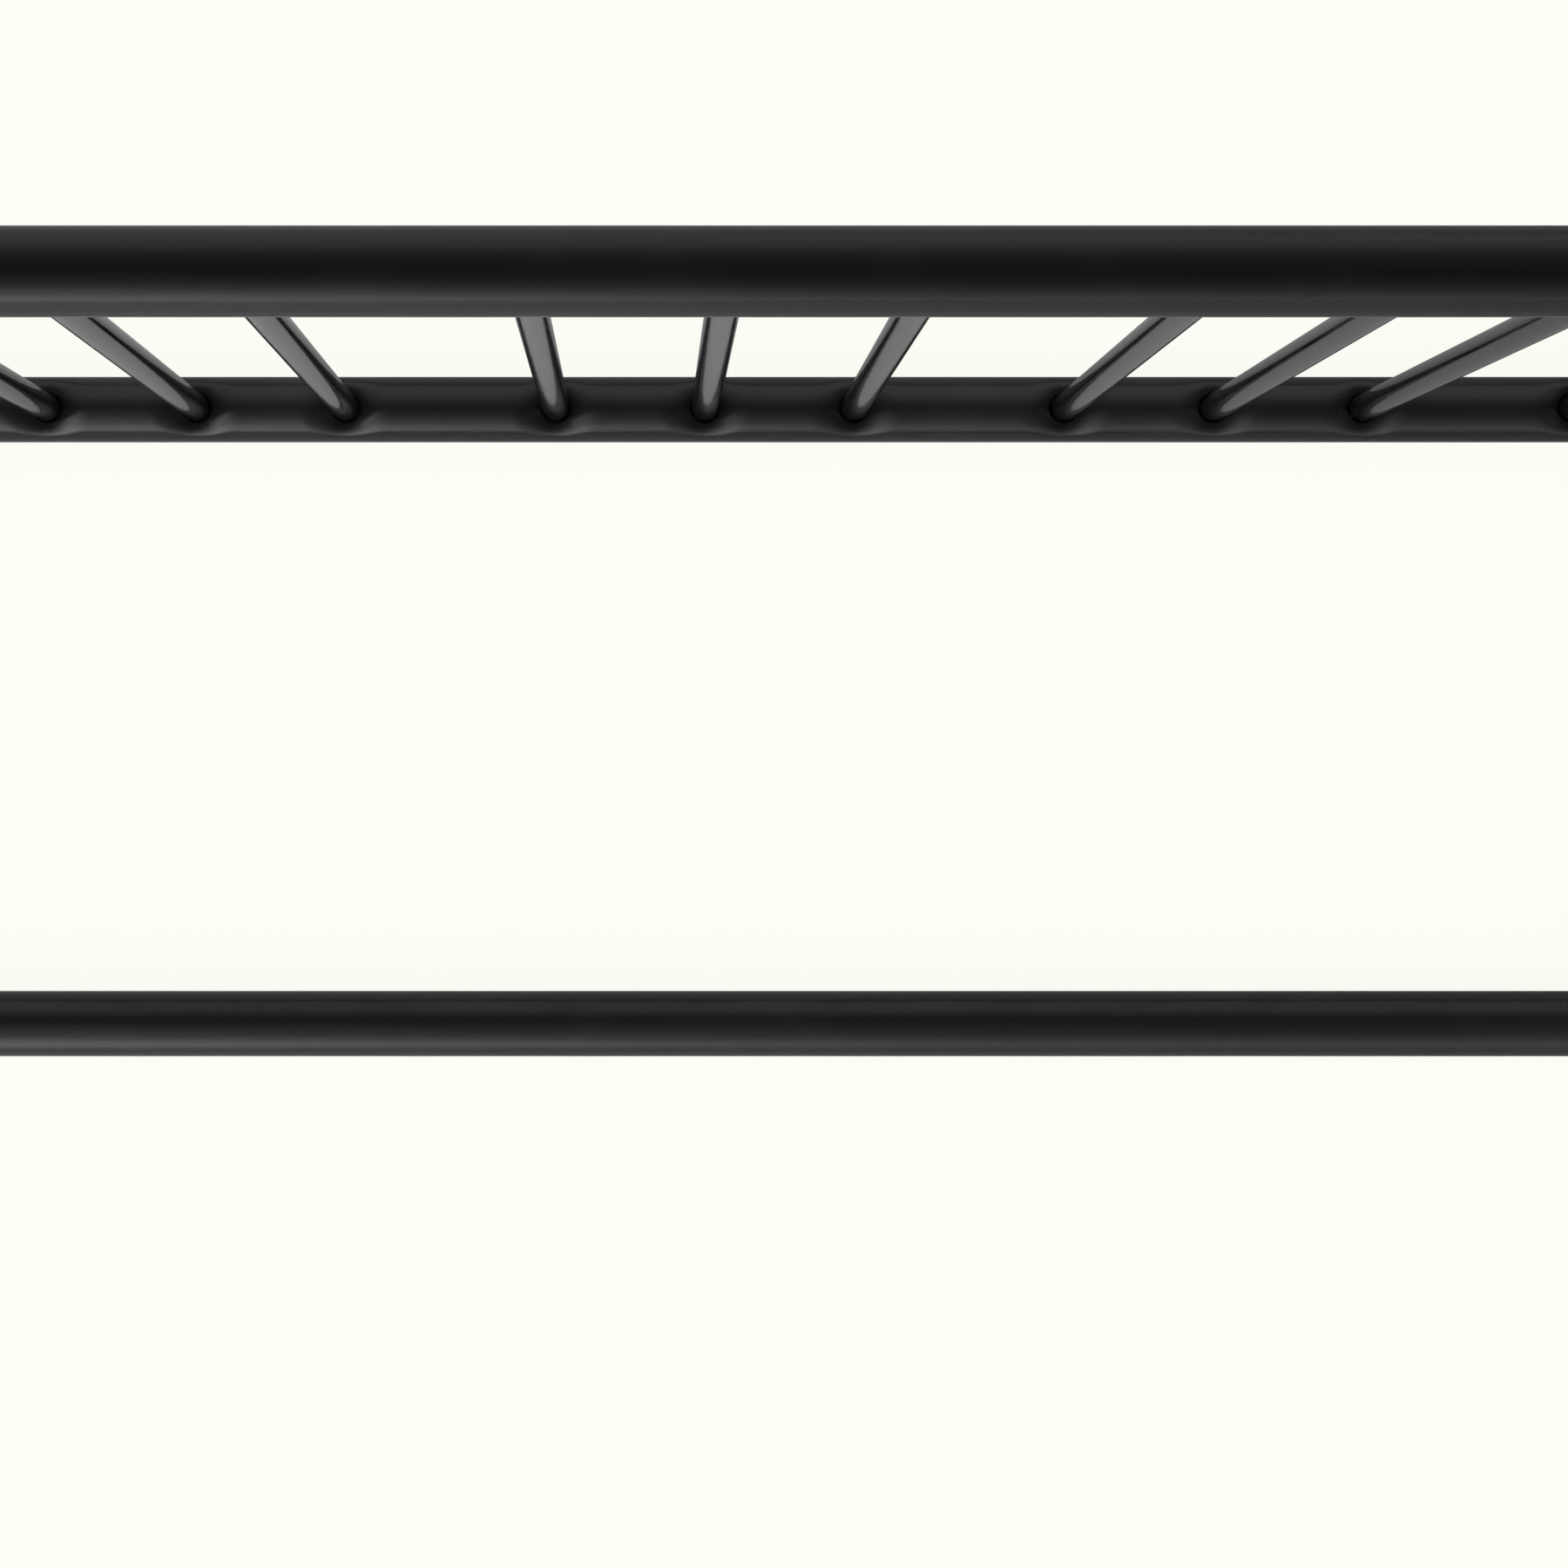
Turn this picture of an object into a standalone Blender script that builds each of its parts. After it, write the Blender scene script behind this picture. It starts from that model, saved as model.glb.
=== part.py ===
"""Free-standing grid bike rack with ten slots, entered from both sides.

A top rail and a grid rail, one above the other, hold upright bars between them in groups
of three, with a slot on each side of a group's middle bar. The bars stand in holes that are
punched into the rails, which leaves a dish in the wall around each bar. A floor rail lies on
each side of the grid, so that there is a well between it and the grid rail. At each end, all
four rails are bolted to an end frame: a base tube on the floor, with an arch bent from one
tube standing on it. Tabs on the base tubes take floor anchors.

The origin is on the floor, under the middle of the rack. X runs along the rails, Y runs
across from the front floor rail to the rear one, and Z is up. Sizes are in metres.
"""

import math

import bmesh
import bpy
from mathutils import Vector

# Overall layout
RACK_HEIGHT = 0.711
RACK_DEPTH = 0.813
GROUPS = 5
BARS_IN_GROUP = 3
SLOT_PITCH = 0.0865
GROUP_PITCH = 0.295
END_PITCH = 0.121

# Tubes and bars
TUBE_DIAMETER = 0.0381
TUBE_WALL = 0.0020
BAR_DIAMETER = 0.0160
BAR_WALL = 0.0015
FIT_GAP = 0.0003

# Dish that the punch leaves in a rail around each bar
DISH_DEPTH = 0.0065
DISH_LENGTH = 0.0400

# End frames
ARCH_FOOT_INSET = 0.052
ARCH_BEND_RADIUS = 0.1143
BASE_TUBE_OVERHANG = 0.045
CAP_FLANGE = 0.0035
CAP_BEVEL_HEIGHT = 0.0014
CAP_BEVEL_WIDTH = 0.0026
CAP_STEM_LENGTH = 0.018
CAP_STEM_WALL = 0.002

# Floor anchor tabs
TAB_INSET = 0.123
TAB_WIDTH = 0.045
TAB_LENGTH = 0.042
TAB_THICKNESS = 0.005
TAB_CORNER_RADIUS = 0.010
ANCHOR_HOLE_DIAMETER = 0.013
ANCHOR_HOLE_EDGE = 0.020

# Rail bolts with their washers, and the threaded plugs fixed in the rails' ends
BOLT_DIAMETER = 0.010
BOLT_HOLE_PLAY = 0.0005
BOLT_HEAD_DIAMETER = 0.0175
BOLT_HEAD_HEIGHT = 0.0055
BOLT_HEAD_FLAT = 0.009
BOLT_TIP_LENGTH = 0.003
SOCKET_ACROSS_FLATS = 0.006
SOCKET_DEPTH = 0.003
WASHER_DIAMETER = 0.022
WASHER_THICKNESS = 0.003
PLUG_THICKNESS = 0.012
PLUG_SETBACK = 0.004

# Facets
TUBE_SIDES = 20
BAR_SIDES = 12
BOLT_SIDES = 12
ARCH_BEND_STEPS = 12
TAB_CORNER_STEPS = 4
BOLT_HEAD_STEPS = 3
SHARP_ANGLE = math.radians(32)

# Colour, roughness and metallic value of each finish
FINISHES = {
    "powder_coat": ((0.022, 0.022, 0.023), 0.36, 0.0),
    "black_plastic": ((0.018, 0.018, 0.018), 0.55, 0.0),
    "black_screw": ((0.030, 0.030, 0.032), 0.38, 0.85),
    "zinc": ((0.62, 0.62, 0.60), 0.35, 1.0),
}

# Places that follow from the sizes above
TUBE_RADIUS = TUBE_DIAMETER / 2
TUBE_BORE_RADIUS = TUBE_RADIUS - TUBE_WALL
BAR_RADIUS = BAR_DIAMETER / 2
TOP_RAIL_Z = RACK_HEIGHT - TUBE_RADIUS
FLOOR_TUBE_Z = TUBE_RADIUS
BAR_X = [
    (group - (GROUPS - 1) / 2) * GROUP_PITCH + (place - (BARS_IN_GROUP - 1) / 2) * SLOT_PITCH
    for group in range(GROUPS)
    for place in range(BARS_IN_GROUP)
]
FRAME_X = BAR_X[-1] + END_PITCH
BASE_TUBE_HALF = RACK_DEPTH / 2 - CAP_FLANGE
FLOOR_RAIL_Y = BASE_TUBE_HALF - BASE_TUBE_OVERHANG
ARCH_FOOT_Y = FLOOR_RAIL_Y - ARCH_FOOT_INSET
TAB_Y = FLOOR_RAIL_Y - TAB_INSET
SIDES = {"left": -1, "right": 1}
JOINTS = {
    "top": (0.0, TOP_RAIL_Z),
    "grid": (0.0, FLOOR_TUBE_Z),
    "front": (-FLOOR_RAIL_Y, FLOOR_TUBE_Z),
    "rear": (FLOOR_RAIL_Y, FLOOR_TUBE_Z),
}

X_AXIS = Vector((1, 0, 0))
Y_AXIS = Vector((0, 1, 0))
Z_AXIS = Vector((0, 0, 1))

# A bar's first corner points half a facet away from the rail's line
BAR_CORNER = Vector((math.cos(math.pi / BAR_SIDES), math.sin(math.pi / BAR_SIDES), 0))


def clear_scene():
    """Empty the scene."""
    for old in list(bpy.data.objects):
        bpy.data.objects.remove(old, do_unlink=True)


def make_material(name):
    """One Principled material from FINISHES."""
    colour, roughness, metallic = FINISHES[name]
    material = bpy.data.materials.new(name)
    material.use_nodes = True
    shader = material.node_tree.nodes["Principled BSDF"]
    shader.inputs["Base Color"].default_value = (*colour, 1)
    shader.inputs["Roughness"].default_value = roughness
    shader.inputs["Metallic"].default_value = metallic
    material.diffuse_color = (*colour, 1)
    return material


def ring(centre, across, up, radius, sides):
    """Points round a centre. The radius is a number, or a function of the angle."""
    points = []
    for step in range(sides):
        angle = 2 * math.pi * step / sides
        reach = radius(angle) if callable(radius) else radius
        points.append(centre + reach * (math.cos(angle) * across + math.sin(angle) * up))
    return points


def skin(rings, closed=False):
    """Shape that joins each ring to the next: a closed loop of rings, or one with end faces."""
    sides = len(rings[0])
    points = [point for loop in rings for point in loop]
    faces = []
    for start in range(len(rings) if closed else len(rings) - 1):
        here, there = start * sides, (start + 1) % len(rings) * sides
        for side in range(sides):
            turn = (side + 1) % sides
            faces.append((here + side, here + turn, there + turn, there + side))
    if not closed:
        faces.append(tuple(range(sides)))
        faces.append(tuple(range(len(points) - sides, len(points))))
    return points, faces


def turned(profile, axis, across, sides, closed=False):
    """Shape turned round an axis through the origin. The profile is (place on axis, radius) pairs."""
    up = axis.cross(across)
    return skin([ring(axis * place, across, up, radius, sides) for place, radius in profile], closed)


def moved(shape, offset):
    """The shape, shifted."""
    points, faces = shape
    return [point + Vector(offset) for point in points], faces


def joined(shapes):
    """Several shapes that don't touch, as one."""
    points, faces = [], []
    for more_points, more_faces in shapes:
        start = len(points)
        points += more_points
        faces += [tuple(start + corner for corner in face) for face in more_faces]
    return points, faces


def make_mesh(name, shape):
    """Mesh with its faces pointing out, smooth where the form is round."""
    points, faces = shape
    mesh = bpy.data.meshes.new(name)
    mesh.from_pydata([tuple(point) for point in points], [], faces)
    form = bmesh.new()
    form.from_mesh(mesh)
    bmesh.ops.recalc_face_normals(form, faces=form.faces)
    form.to_mesh(mesh)
    form.free()
    mesh.shade_smooth()
    mesh.set_sharp_from_angle(angle=SHARP_ANGLE)
    return mesh


def add_piece(name, mesh, material, place=(0, 0, 0), turn=0.0):
    """One physical piece of the rack, at its place and turned about Z."""
    piece = bpy.data.objects.new(name, mesh)
    if not mesh.materials:
        mesh.materials.append(bpy.data.materials[material])
    piece.location = place
    piece.rotation_euler = (0, 0, turn)
    piece.parent = bpy.data.objects["bike_rack"]
    bpy.context.scene.collection.objects.link(piece)
    return piece


def add_cutter(name, shape):
    """A helper that only cuts other pieces."""
    cutter = bpy.data.objects.new(name, make_mesh(name, shape))
    cutter.hide_render = True
    cutter.display_type = "WIRE"
    bpy.context.scene.collection.objects.link(cutter)
    return cutter


def cut(piece, *cutters):
    """Take the cutters out of the piece."""
    for cutter in cutters:
        modifier = piece.modifiers.new(cutter.name, "BOOLEAN")
        modifier.operation = "DIFFERENCE"
        modifier.solver = "EXACT"
        modifier.object = cutter


def rod(start, end, radius, across, sides):
    """Straight round bar between two points."""
    up = (end - start).normalized().cross(across)
    return skin([ring(point, across, up, radius, sides) for point in (start, end)])


def pipe(start, end, outer, inner, across, sides):
    """Straight round tube between two points, open at both ends."""
    up = (end - start).normalized().cross(across)
    corners = ((start, inner), (start, outer), (end, outer), (end, inner))
    return skin([ring(point, across, up, radius, sides) for point, radius in corners], closed=True)


def leg_lean():
    """Angle of an arch's legs from upright.

    Each leg runs from the base tube's axis, ARCH_FOOT_Y from the middle, and touches the bend
    at the top. The bend's centre is ARCH_BEND_RADIUS under the top rail's axis, so the leg is a
    tangent from its foot to that circle.
    """
    drop = TOP_RAIL_Z - ARCH_BEND_RADIUS - FLOOR_TUBE_Z
    return math.acos(ARCH_BEND_RADIUS / math.hypot(ARCH_FOOT_Y, drop)) - math.atan2(drop, ARCH_FOOT_Y)


def arch_sections(x, foot_z):
    """Centre and outward direction of each section along an arch.

    Round the bend, the centre line is a run of short sides that touch the true arc at their
    middles, and each section mitres two of them. The run has an even number of corners, so one
    side lies level at the top. A direction is as long as its mitre stretches the section.
    """
    lean = leg_lean()
    foot_y = ARCH_FOOT_Y + (FLOOR_TUBE_Z - foot_z) * math.tan(lean)
    sections = [(Vector((x, -foot_y, foot_z)), Vector((0, -1 / math.cos(lean), 0)))]
    middle = Vector((x, 0, TOP_RAIL_Z - ARCH_BEND_RADIUS))
    turn = (math.pi - 2 * lean) / ARCH_BEND_STEPS
    for step in range(ARCH_BEND_STEPS):
        angle = lean + (step + 0.5) * turn
        outwards = Vector((0, -math.cos(angle), math.sin(angle))) / math.cos(turn / 2)
        sections.append((middle + ARCH_BEND_RADIUS * outwards, outwards))
    sections.append((Vector((x, foot_y, foot_z)), Vector((0, 1 / math.cos(lean), 0))))
    return sections


def arch_skin(x, radius, foot_z=FLOOR_TUBE_Z):
    """Outside of an arch, or with a smaller radius its bore, as a solid."""
    return skin([
        ring(centre, X_AXIS, outwards, radius, TUBE_SIDES)
        for centre, outwards in arch_sections(x, foot_z)
    ])


def dish_cutters(wall_z, side, depth):
    """A cone at each bar that cuts its dish into the wall at wall_z. Side is 1 on a rail's top.

    The cone falls by DISH_DEPTH from the dish's rim to the bar, and it goes on above the rim by
    as much. Depth is the wall that it leaves over itself, 0 for the outer face.
    """
    rim = DISH_LENGTH / 2
    cone = [(-DISH_DEPTH - depth, BAR_RADIUS), (DISH_DEPTH - depth, 2 * rim - BAR_RADIUS)]
    dish = turned([(side * place, radius) for place, radius in cone], Z_AXIS, BAR_CORNER, BAR_SIDES)
    return joined([moved(dish, (x, 0, wall_z)) for x in BAR_X])


def base_tube_ends(x):
    """Ends of a base tube's axis."""
    return [Vector((x, y, FLOOR_TUBE_Z)) for y in (-BASE_TUBE_HALF, BASE_TUBE_HALF)]


def make_end_cutters():
    """What each end frame takes out of its neighbours, and the holes for the rails' bolts."""
    for side, sign in SIDES.items():
        x = sign * FRAME_X
        add_cutter(f"{side}_arch_space", arch_skin(x, TUBE_RADIUS + FIT_GAP))
        ends = base_tube_ends(x)
        add_cutter(f"{side}_base_space", rod(*ends, TUBE_RADIUS + FIT_GAP, X_AXIS, TUBE_SIDES))
        add_cutter(f"{side}_bolt_holes", joined([
            rod(
                Vector((x - 2 * TUBE_RADIUS, y, z)),
                Vector((x + 2 * TUBE_RADIUS, y, z)),
                BOLT_DIAMETER / 2 + BOLT_HOLE_PLAY,
                Y_AXIS,
                BOLT_SIDES,
            )
            for y, z in JOINTS.values()
        ]))


def cope(rail, frame_tube):
    """Shape both ends of a rail to the end frames' arch or base tube."""
    cut(rail, *[bpy.data.objects[f"{side}_{frame_tube}_space"] for side in SIDES])


def make_grid_rails():
    """The top rail and the grid rail, each with a row of punched and dished holes."""
    rails = (("top_rail", TOP_RAIL_Z, -1, "arch"), ("grid_rail", FLOOR_TUBE_Z, 1, "base"))
    for name, rail_z, side, frame_tube in rails:
        ends = [Vector((x, 0, rail_z)) for x in (-FRAME_X, FRAME_X)]
        bore_ends = [end + X_AXIS * math.copysign(TUBE_RADIUS, end.x) for end in ends]
        wall_z = rail_z + side * TUBE_RADIUS
        rail = add_piece(
            name, make_mesh(name, rod(*ends, TUBE_RADIUS, Y_AXIS, TUBE_SIDES)), "powder_coat"
        )
        bore = add_cutter(f"{name}_bore", rod(*bore_ends, TUBE_BORE_RADIUS, Y_AXIS, TUBE_SIDES))
        cut(bore, add_cutter(f"{name}_dish_backs", dish_cutters(wall_z, side, TUBE_WALL)))
        holes = joined([
            rod(
                Vector((x, 0, rail_z)),
                Vector((x, 0, wall_z + side * TUBE_RADIUS)),
                BAR_RADIUS + FIT_GAP,
                BAR_CORNER,
                BAR_SIDES,
            )
            for x in BAR_X
        ])
        cope(rail, frame_tube)
        cut(
            rail,
            add_cutter(f"{name}_dishes", dish_cutters(wall_z, side, 0.0)),
            bore,
            add_cutter(f"{name}_bar_holes", holes),
        )


def make_floor_rails():
    """The plain rail on each side of the grid."""
    for name, y in (("front_floor_rail", -FLOOR_RAIL_Y), ("rear_floor_rail", FLOOR_RAIL_Y)):
        ends = [Vector((x, y, FLOOR_TUBE_Z)) for x in (-FRAME_X, FRAME_X)]
        rail = add_piece(
            name,
            make_mesh(name, pipe(*ends, TUBE_RADIUS, TUBE_BORE_RADIUS, Y_AXIS, TUBE_SIDES)),
            "powder_coat",
        )
        cope(rail, "base")


def make_bars():
    """Upright tubes that reach into both rails, down to the far wall."""
    reach = math.sqrt(TUBE_BORE_RADIUS ** 2 - BAR_RADIUS ** 2) - 2 * FIT_GAP
    low = Z_AXIS * (FLOOR_TUBE_Z - reach)
    high = Z_AXIS * (TOP_RAIL_Z + reach)
    mesh = make_mesh("bar", pipe(low, high, BAR_RADIUS, BAR_RADIUS - BAR_WALL, BAR_CORNER, BAR_SIDES))
    for number, x in enumerate(BAR_X, start=1):
        add_piece(f"bar_{number:02d}", mesh, "powder_coat", (x, 0, 0))


def make_end_frames():
    """At each end, a base tube on the floor and an arch that stands on it."""
    for side, sign in SIDES.items():
        x = sign * FRAME_X
        name = f"{side}_arch"
        arch = add_piece(name, make_mesh(name, arch_skin(x, TUBE_RADIUS)), "powder_coat")
        bore = add_cutter(f"{name}_bore", arch_skin(x, TUBE_BORE_RADIUS, FLOOR_TUBE_Z - TUBE_RADIUS))
        name = f"{side}_base_tube"
        tube = pipe(*base_tube_ends(x), TUBE_RADIUS, TUBE_BORE_RADIUS, X_AXIS, TUBE_SIDES)
        base = add_piece(name, make_mesh(name, tube), "powder_coat")
        bolt_holes = bpy.data.objects[f"{side}_bolt_holes"]
        cut(arch, bore, bpy.data.objects[f"{side}_base_space"], bolt_holes)
        cut(base, bolt_holes)


def hexagon(across_flats):
    """Radius of a hexagon as a function of the angle."""
    def radius(angle):
        return across_flats / 2 / math.cos(angle % (math.pi / 3) - math.pi / 6)
    return radius


def bolt_shape(seat, tip):
    """Bolt along X with its head's underside at seat.

    The head is domed as a quarter of an ellipse, from its rim to a flat top with a hexagon
    socket in it.
    """
    rim, flat = BOLT_HEAD_DIAMETER / 2, BOLT_HEAD_FLAT / 2
    profile = [(tip, BOLT_DIAMETER / 2), (seat, BOLT_DIAMETER / 2)]
    for step in range(BOLT_HEAD_STEPS + 1):
        angle = math.pi / 2 * step / BOLT_HEAD_STEPS
        profile.append((seat + BOLT_HEAD_HEIGHT * math.sin(angle), flat + (rim - flat) * math.cos(angle)))
    socket = hexagon(SOCKET_ACROSS_FLATS)
    profile.append((seat + BOLT_HEAD_HEIGHT, socket))
    profile.append((seat + BOLT_HEAD_HEIGHT - SOCKET_DEPTH, socket))
    return turned(profile, X_AXIS, Y_AXIS, BOLT_SIDES)


def make_bolts():
    """At each rail's end: a button-head bolt, a saddle washer and a threaded plug."""
    seat = TUBE_RADIUS + WASHER_THICKNESS
    plug_start = -(TUBE_RADIUS + PLUG_SETBACK)
    plug_end = plug_start - PLUG_THICKNESS
    bolt_mesh = make_mesh("bolt", bolt_shape(seat + FIT_GAP, plug_end - BOLT_TIP_LENGTH))
    plug_mesh = make_mesh("threaded_plug", pipe(
        X_AXIS * plug_end,
        X_AXIS * plug_start,
        TUBE_BORE_RADIUS - FIT_GAP,
        BOLT_DIAMETER / 2 + FIT_GAP,
        Y_AXIS,
        BOLT_SIDES,
    ))
    washer_blank = pipe(
        X_AXIS * BOLT_DIAMETER,
        X_AXIS * seat,
        WASHER_DIAMETER / 2,
        BOLT_DIAMETER / 2 + BOLT_HOLE_PLAY,
        Y_AXIS,
        BOLT_SIDES,
    )
    for side, sign in SIDES.items():
        turn = 0.0 if sign > 0 else math.pi
        for joint, (y, z) in JOINTS.items():
            place = (sign * FRAME_X, y, z)
            add_piece(f"{side}_{joint}_bolt", bolt_mesh, "black_screw", place, turn)
            add_piece(f"{side}_{joint}_threaded_plug", plug_mesh, "zinc", place, turn)
            name = f"{side}_{joint}_saddle_washer"
            washer = add_piece(name, make_mesh(name, washer_blank), "black_plastic", place, turn)
            tube = "arch_space" if joint == "top" else "base_space"
            cut(washer, bpy.data.objects[f"{side}_{tube}"])


def make_end_caps():
    """Cup-shaped plugs in the open ends of the base tubes."""
    stem = TUBE_BORE_RADIUS - FIT_GAP
    mesh = make_mesh("end_cap", turned(
        [
            (CAP_FLANGE, TUBE_RADIUS - CAP_BEVEL_WIDTH),
            (CAP_FLANGE - CAP_BEVEL_HEIGHT, TUBE_RADIUS),
            (FIT_GAP, TUBE_RADIUS),
            (FIT_GAP, stem),
            (-CAP_STEM_LENGTH, stem),
            (-CAP_STEM_LENGTH, stem - CAP_STEM_WALL),
            (FIT_GAP, stem - CAP_STEM_WALL),
        ],
        Y_AXIS, X_AXIS, TUBE_SIDES,
    ))
    for side, sign in SIDES.items():
        for end, way in (("front", -1), ("rear", 1)):
            place = (sign * FRAME_X, way * BASE_TUBE_HALF, FLOOR_TUBE_Z)
            add_piece(f"{side}_{end}_end_cap", mesh, "black_plastic", place, 0.0 if way > 0 else math.pi)


def tab_outline():
    """Outline of a tab seen from above: square at the tube, rounded at its free end."""
    half = TAB_WIDTH / 2
    corner_x, corner_y = TAB_LENGTH - TAB_CORNER_RADIUS, half - TAB_CORNER_RADIUS
    outline = [(0.0, half), (0.0, -half)]
    for middle_y, start in ((-corner_y, -math.pi / 2), (corner_y, 0.0)):
        for step in range(TAB_CORNER_STEPS + 1):
            angle = start + math.pi / 2 * step / TAB_CORNER_STEPS
            outline.append((
                corner_x + TAB_CORNER_RADIUS * math.cos(angle),
                middle_y + TAB_CORNER_RADIUS * math.sin(angle),
            ))
    return outline


def make_anchor_tabs():
    """Flat tabs on the outer side of the base tubes, each with a hole for a floor anchor."""
    inner_edge = math.sqrt(TUBE_RADIUS ** 2 - (TUBE_RADIUS - TAB_THICKNESS) ** 2) + FIT_GAP
    rings = [[Vector((inner_edge + x, y, z)) for x, y in tab_outline()] for z in (0.0, TAB_THICKNESS)]
    mesh = make_mesh("anchor_tab", skin(rings))
    hole_x = inner_edge + TAB_LENGTH - ANCHOR_HOLE_EDGE
    for side, sign in SIDES.items():
        for end, way in (("front", -1), ("rear", 1)):
            middle = Vector((sign * FRAME_X, way * TAB_Y, 0))
            name = f"{side}_{end}_anchor_tab"
            tab = add_piece(name, mesh, "powder_coat", middle, 0.0 if sign > 0 else math.pi)
            hole = rod(
                middle + Vector((sign * hole_x, 0, -TAB_THICKNESS)),
                middle + Vector((sign * hole_x, 0, 2 * TAB_THICKNESS)),
                ANCHOR_HOLE_DIAMETER / 2, X_AXIS, BOLT_SIDES,
            )
            cut(tab, add_cutter(f"{name}_hole", hole))


def main():
    """Build the whole rack."""
    clear_scene()
    for name in FINISHES:
        make_material(name)
    root = bpy.data.objects.new("bike_rack", None)
    bpy.context.scene.collection.objects.link(root)
    make_end_cutters()
    make_grid_rails()
    make_floor_rails()
    make_bars()
    make_end_frames()
    make_bolts()
    make_end_caps()
    make_anchor_tabs()


main()
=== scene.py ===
"""Finished look of a free-standing grid bike rack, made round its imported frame.

The rack is black all over: steel tube under a smooth powder coat, moulded caps and washers,
and blackened bolts. Each of its tubes, bars, welds, tabs, caps, washers and bolts is a surface
worked out with numpy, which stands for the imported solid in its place.

Sizes are in metres and places are in the frame's own axes: X runs along the rails, Y runs
across from the front floor rail to the rear one, and Z is up from the floor.
"""

from __future__ import annotations

import logging
import math
from collections.abc import Callable, Sequence
from dataclasses import dataclass
from enum import Enum

import bmesh
import bpy
import numpy as np
from numpy.typing import NDArray
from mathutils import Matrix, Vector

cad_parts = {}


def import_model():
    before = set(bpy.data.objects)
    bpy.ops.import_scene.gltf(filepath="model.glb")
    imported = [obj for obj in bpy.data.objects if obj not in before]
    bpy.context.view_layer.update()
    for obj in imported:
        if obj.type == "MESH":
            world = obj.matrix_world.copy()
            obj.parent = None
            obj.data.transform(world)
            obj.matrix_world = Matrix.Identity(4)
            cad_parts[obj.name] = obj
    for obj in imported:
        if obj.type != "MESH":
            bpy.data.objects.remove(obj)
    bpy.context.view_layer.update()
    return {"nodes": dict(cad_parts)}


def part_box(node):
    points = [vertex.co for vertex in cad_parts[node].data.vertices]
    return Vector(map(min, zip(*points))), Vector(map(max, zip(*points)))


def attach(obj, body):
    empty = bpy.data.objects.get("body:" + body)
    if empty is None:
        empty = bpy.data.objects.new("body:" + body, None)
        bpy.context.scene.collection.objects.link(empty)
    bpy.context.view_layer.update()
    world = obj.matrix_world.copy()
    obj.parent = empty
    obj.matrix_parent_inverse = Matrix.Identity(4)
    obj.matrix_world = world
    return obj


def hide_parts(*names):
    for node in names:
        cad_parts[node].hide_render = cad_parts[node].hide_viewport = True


Array = NDArray[np.float64]
Counts = NDArray[np.int64]
Colour = tuple[float, float, float]
Place = tuple[float, float, float]
Socket = bpy.types.NodeSocket

LOG = logging.getLogger("bike_rack")

MERGE_DISTANCE = 1e-6
SHARP_ANGLE = math.radians(38)
FULL_TURN = 2 * math.pi
COAT_LAYER = "coat"
NOISE_SPREAD = (0.3, 0.7)
UNEVEN_LOBES = (1, 2, 3, 4)
UNEVEN_PITCHES = (0.07, 0.22)


class Side(Enum):
    """End of the rack that a frame closes, with the sign of its X."""

    LEFT = -1
    RIGHT = 1


class End(Enum):
    """Front or rear half of the rack, with the sign of its Y."""

    FRONT = -1
    REAR = 1


class Face(Enum):
    """Wall of a rail that is punched for the bars, with the sign of its Z."""

    TOP = 1
    UNDERSIDE = -1


class Axis(Enum):
    """Direction that a straight piece runs in, then the two across it."""

    X = (0, 1, 2)
    Y = (1, 0, 2)
    Z = (2, 0, 1)


def joined(*parts: Enum | str) -> str:
    """Name made of places and words, in small letters."""
    return "_".join(part.name.lower() if isinstance(part, Enum) else part for part in parts)


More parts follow.
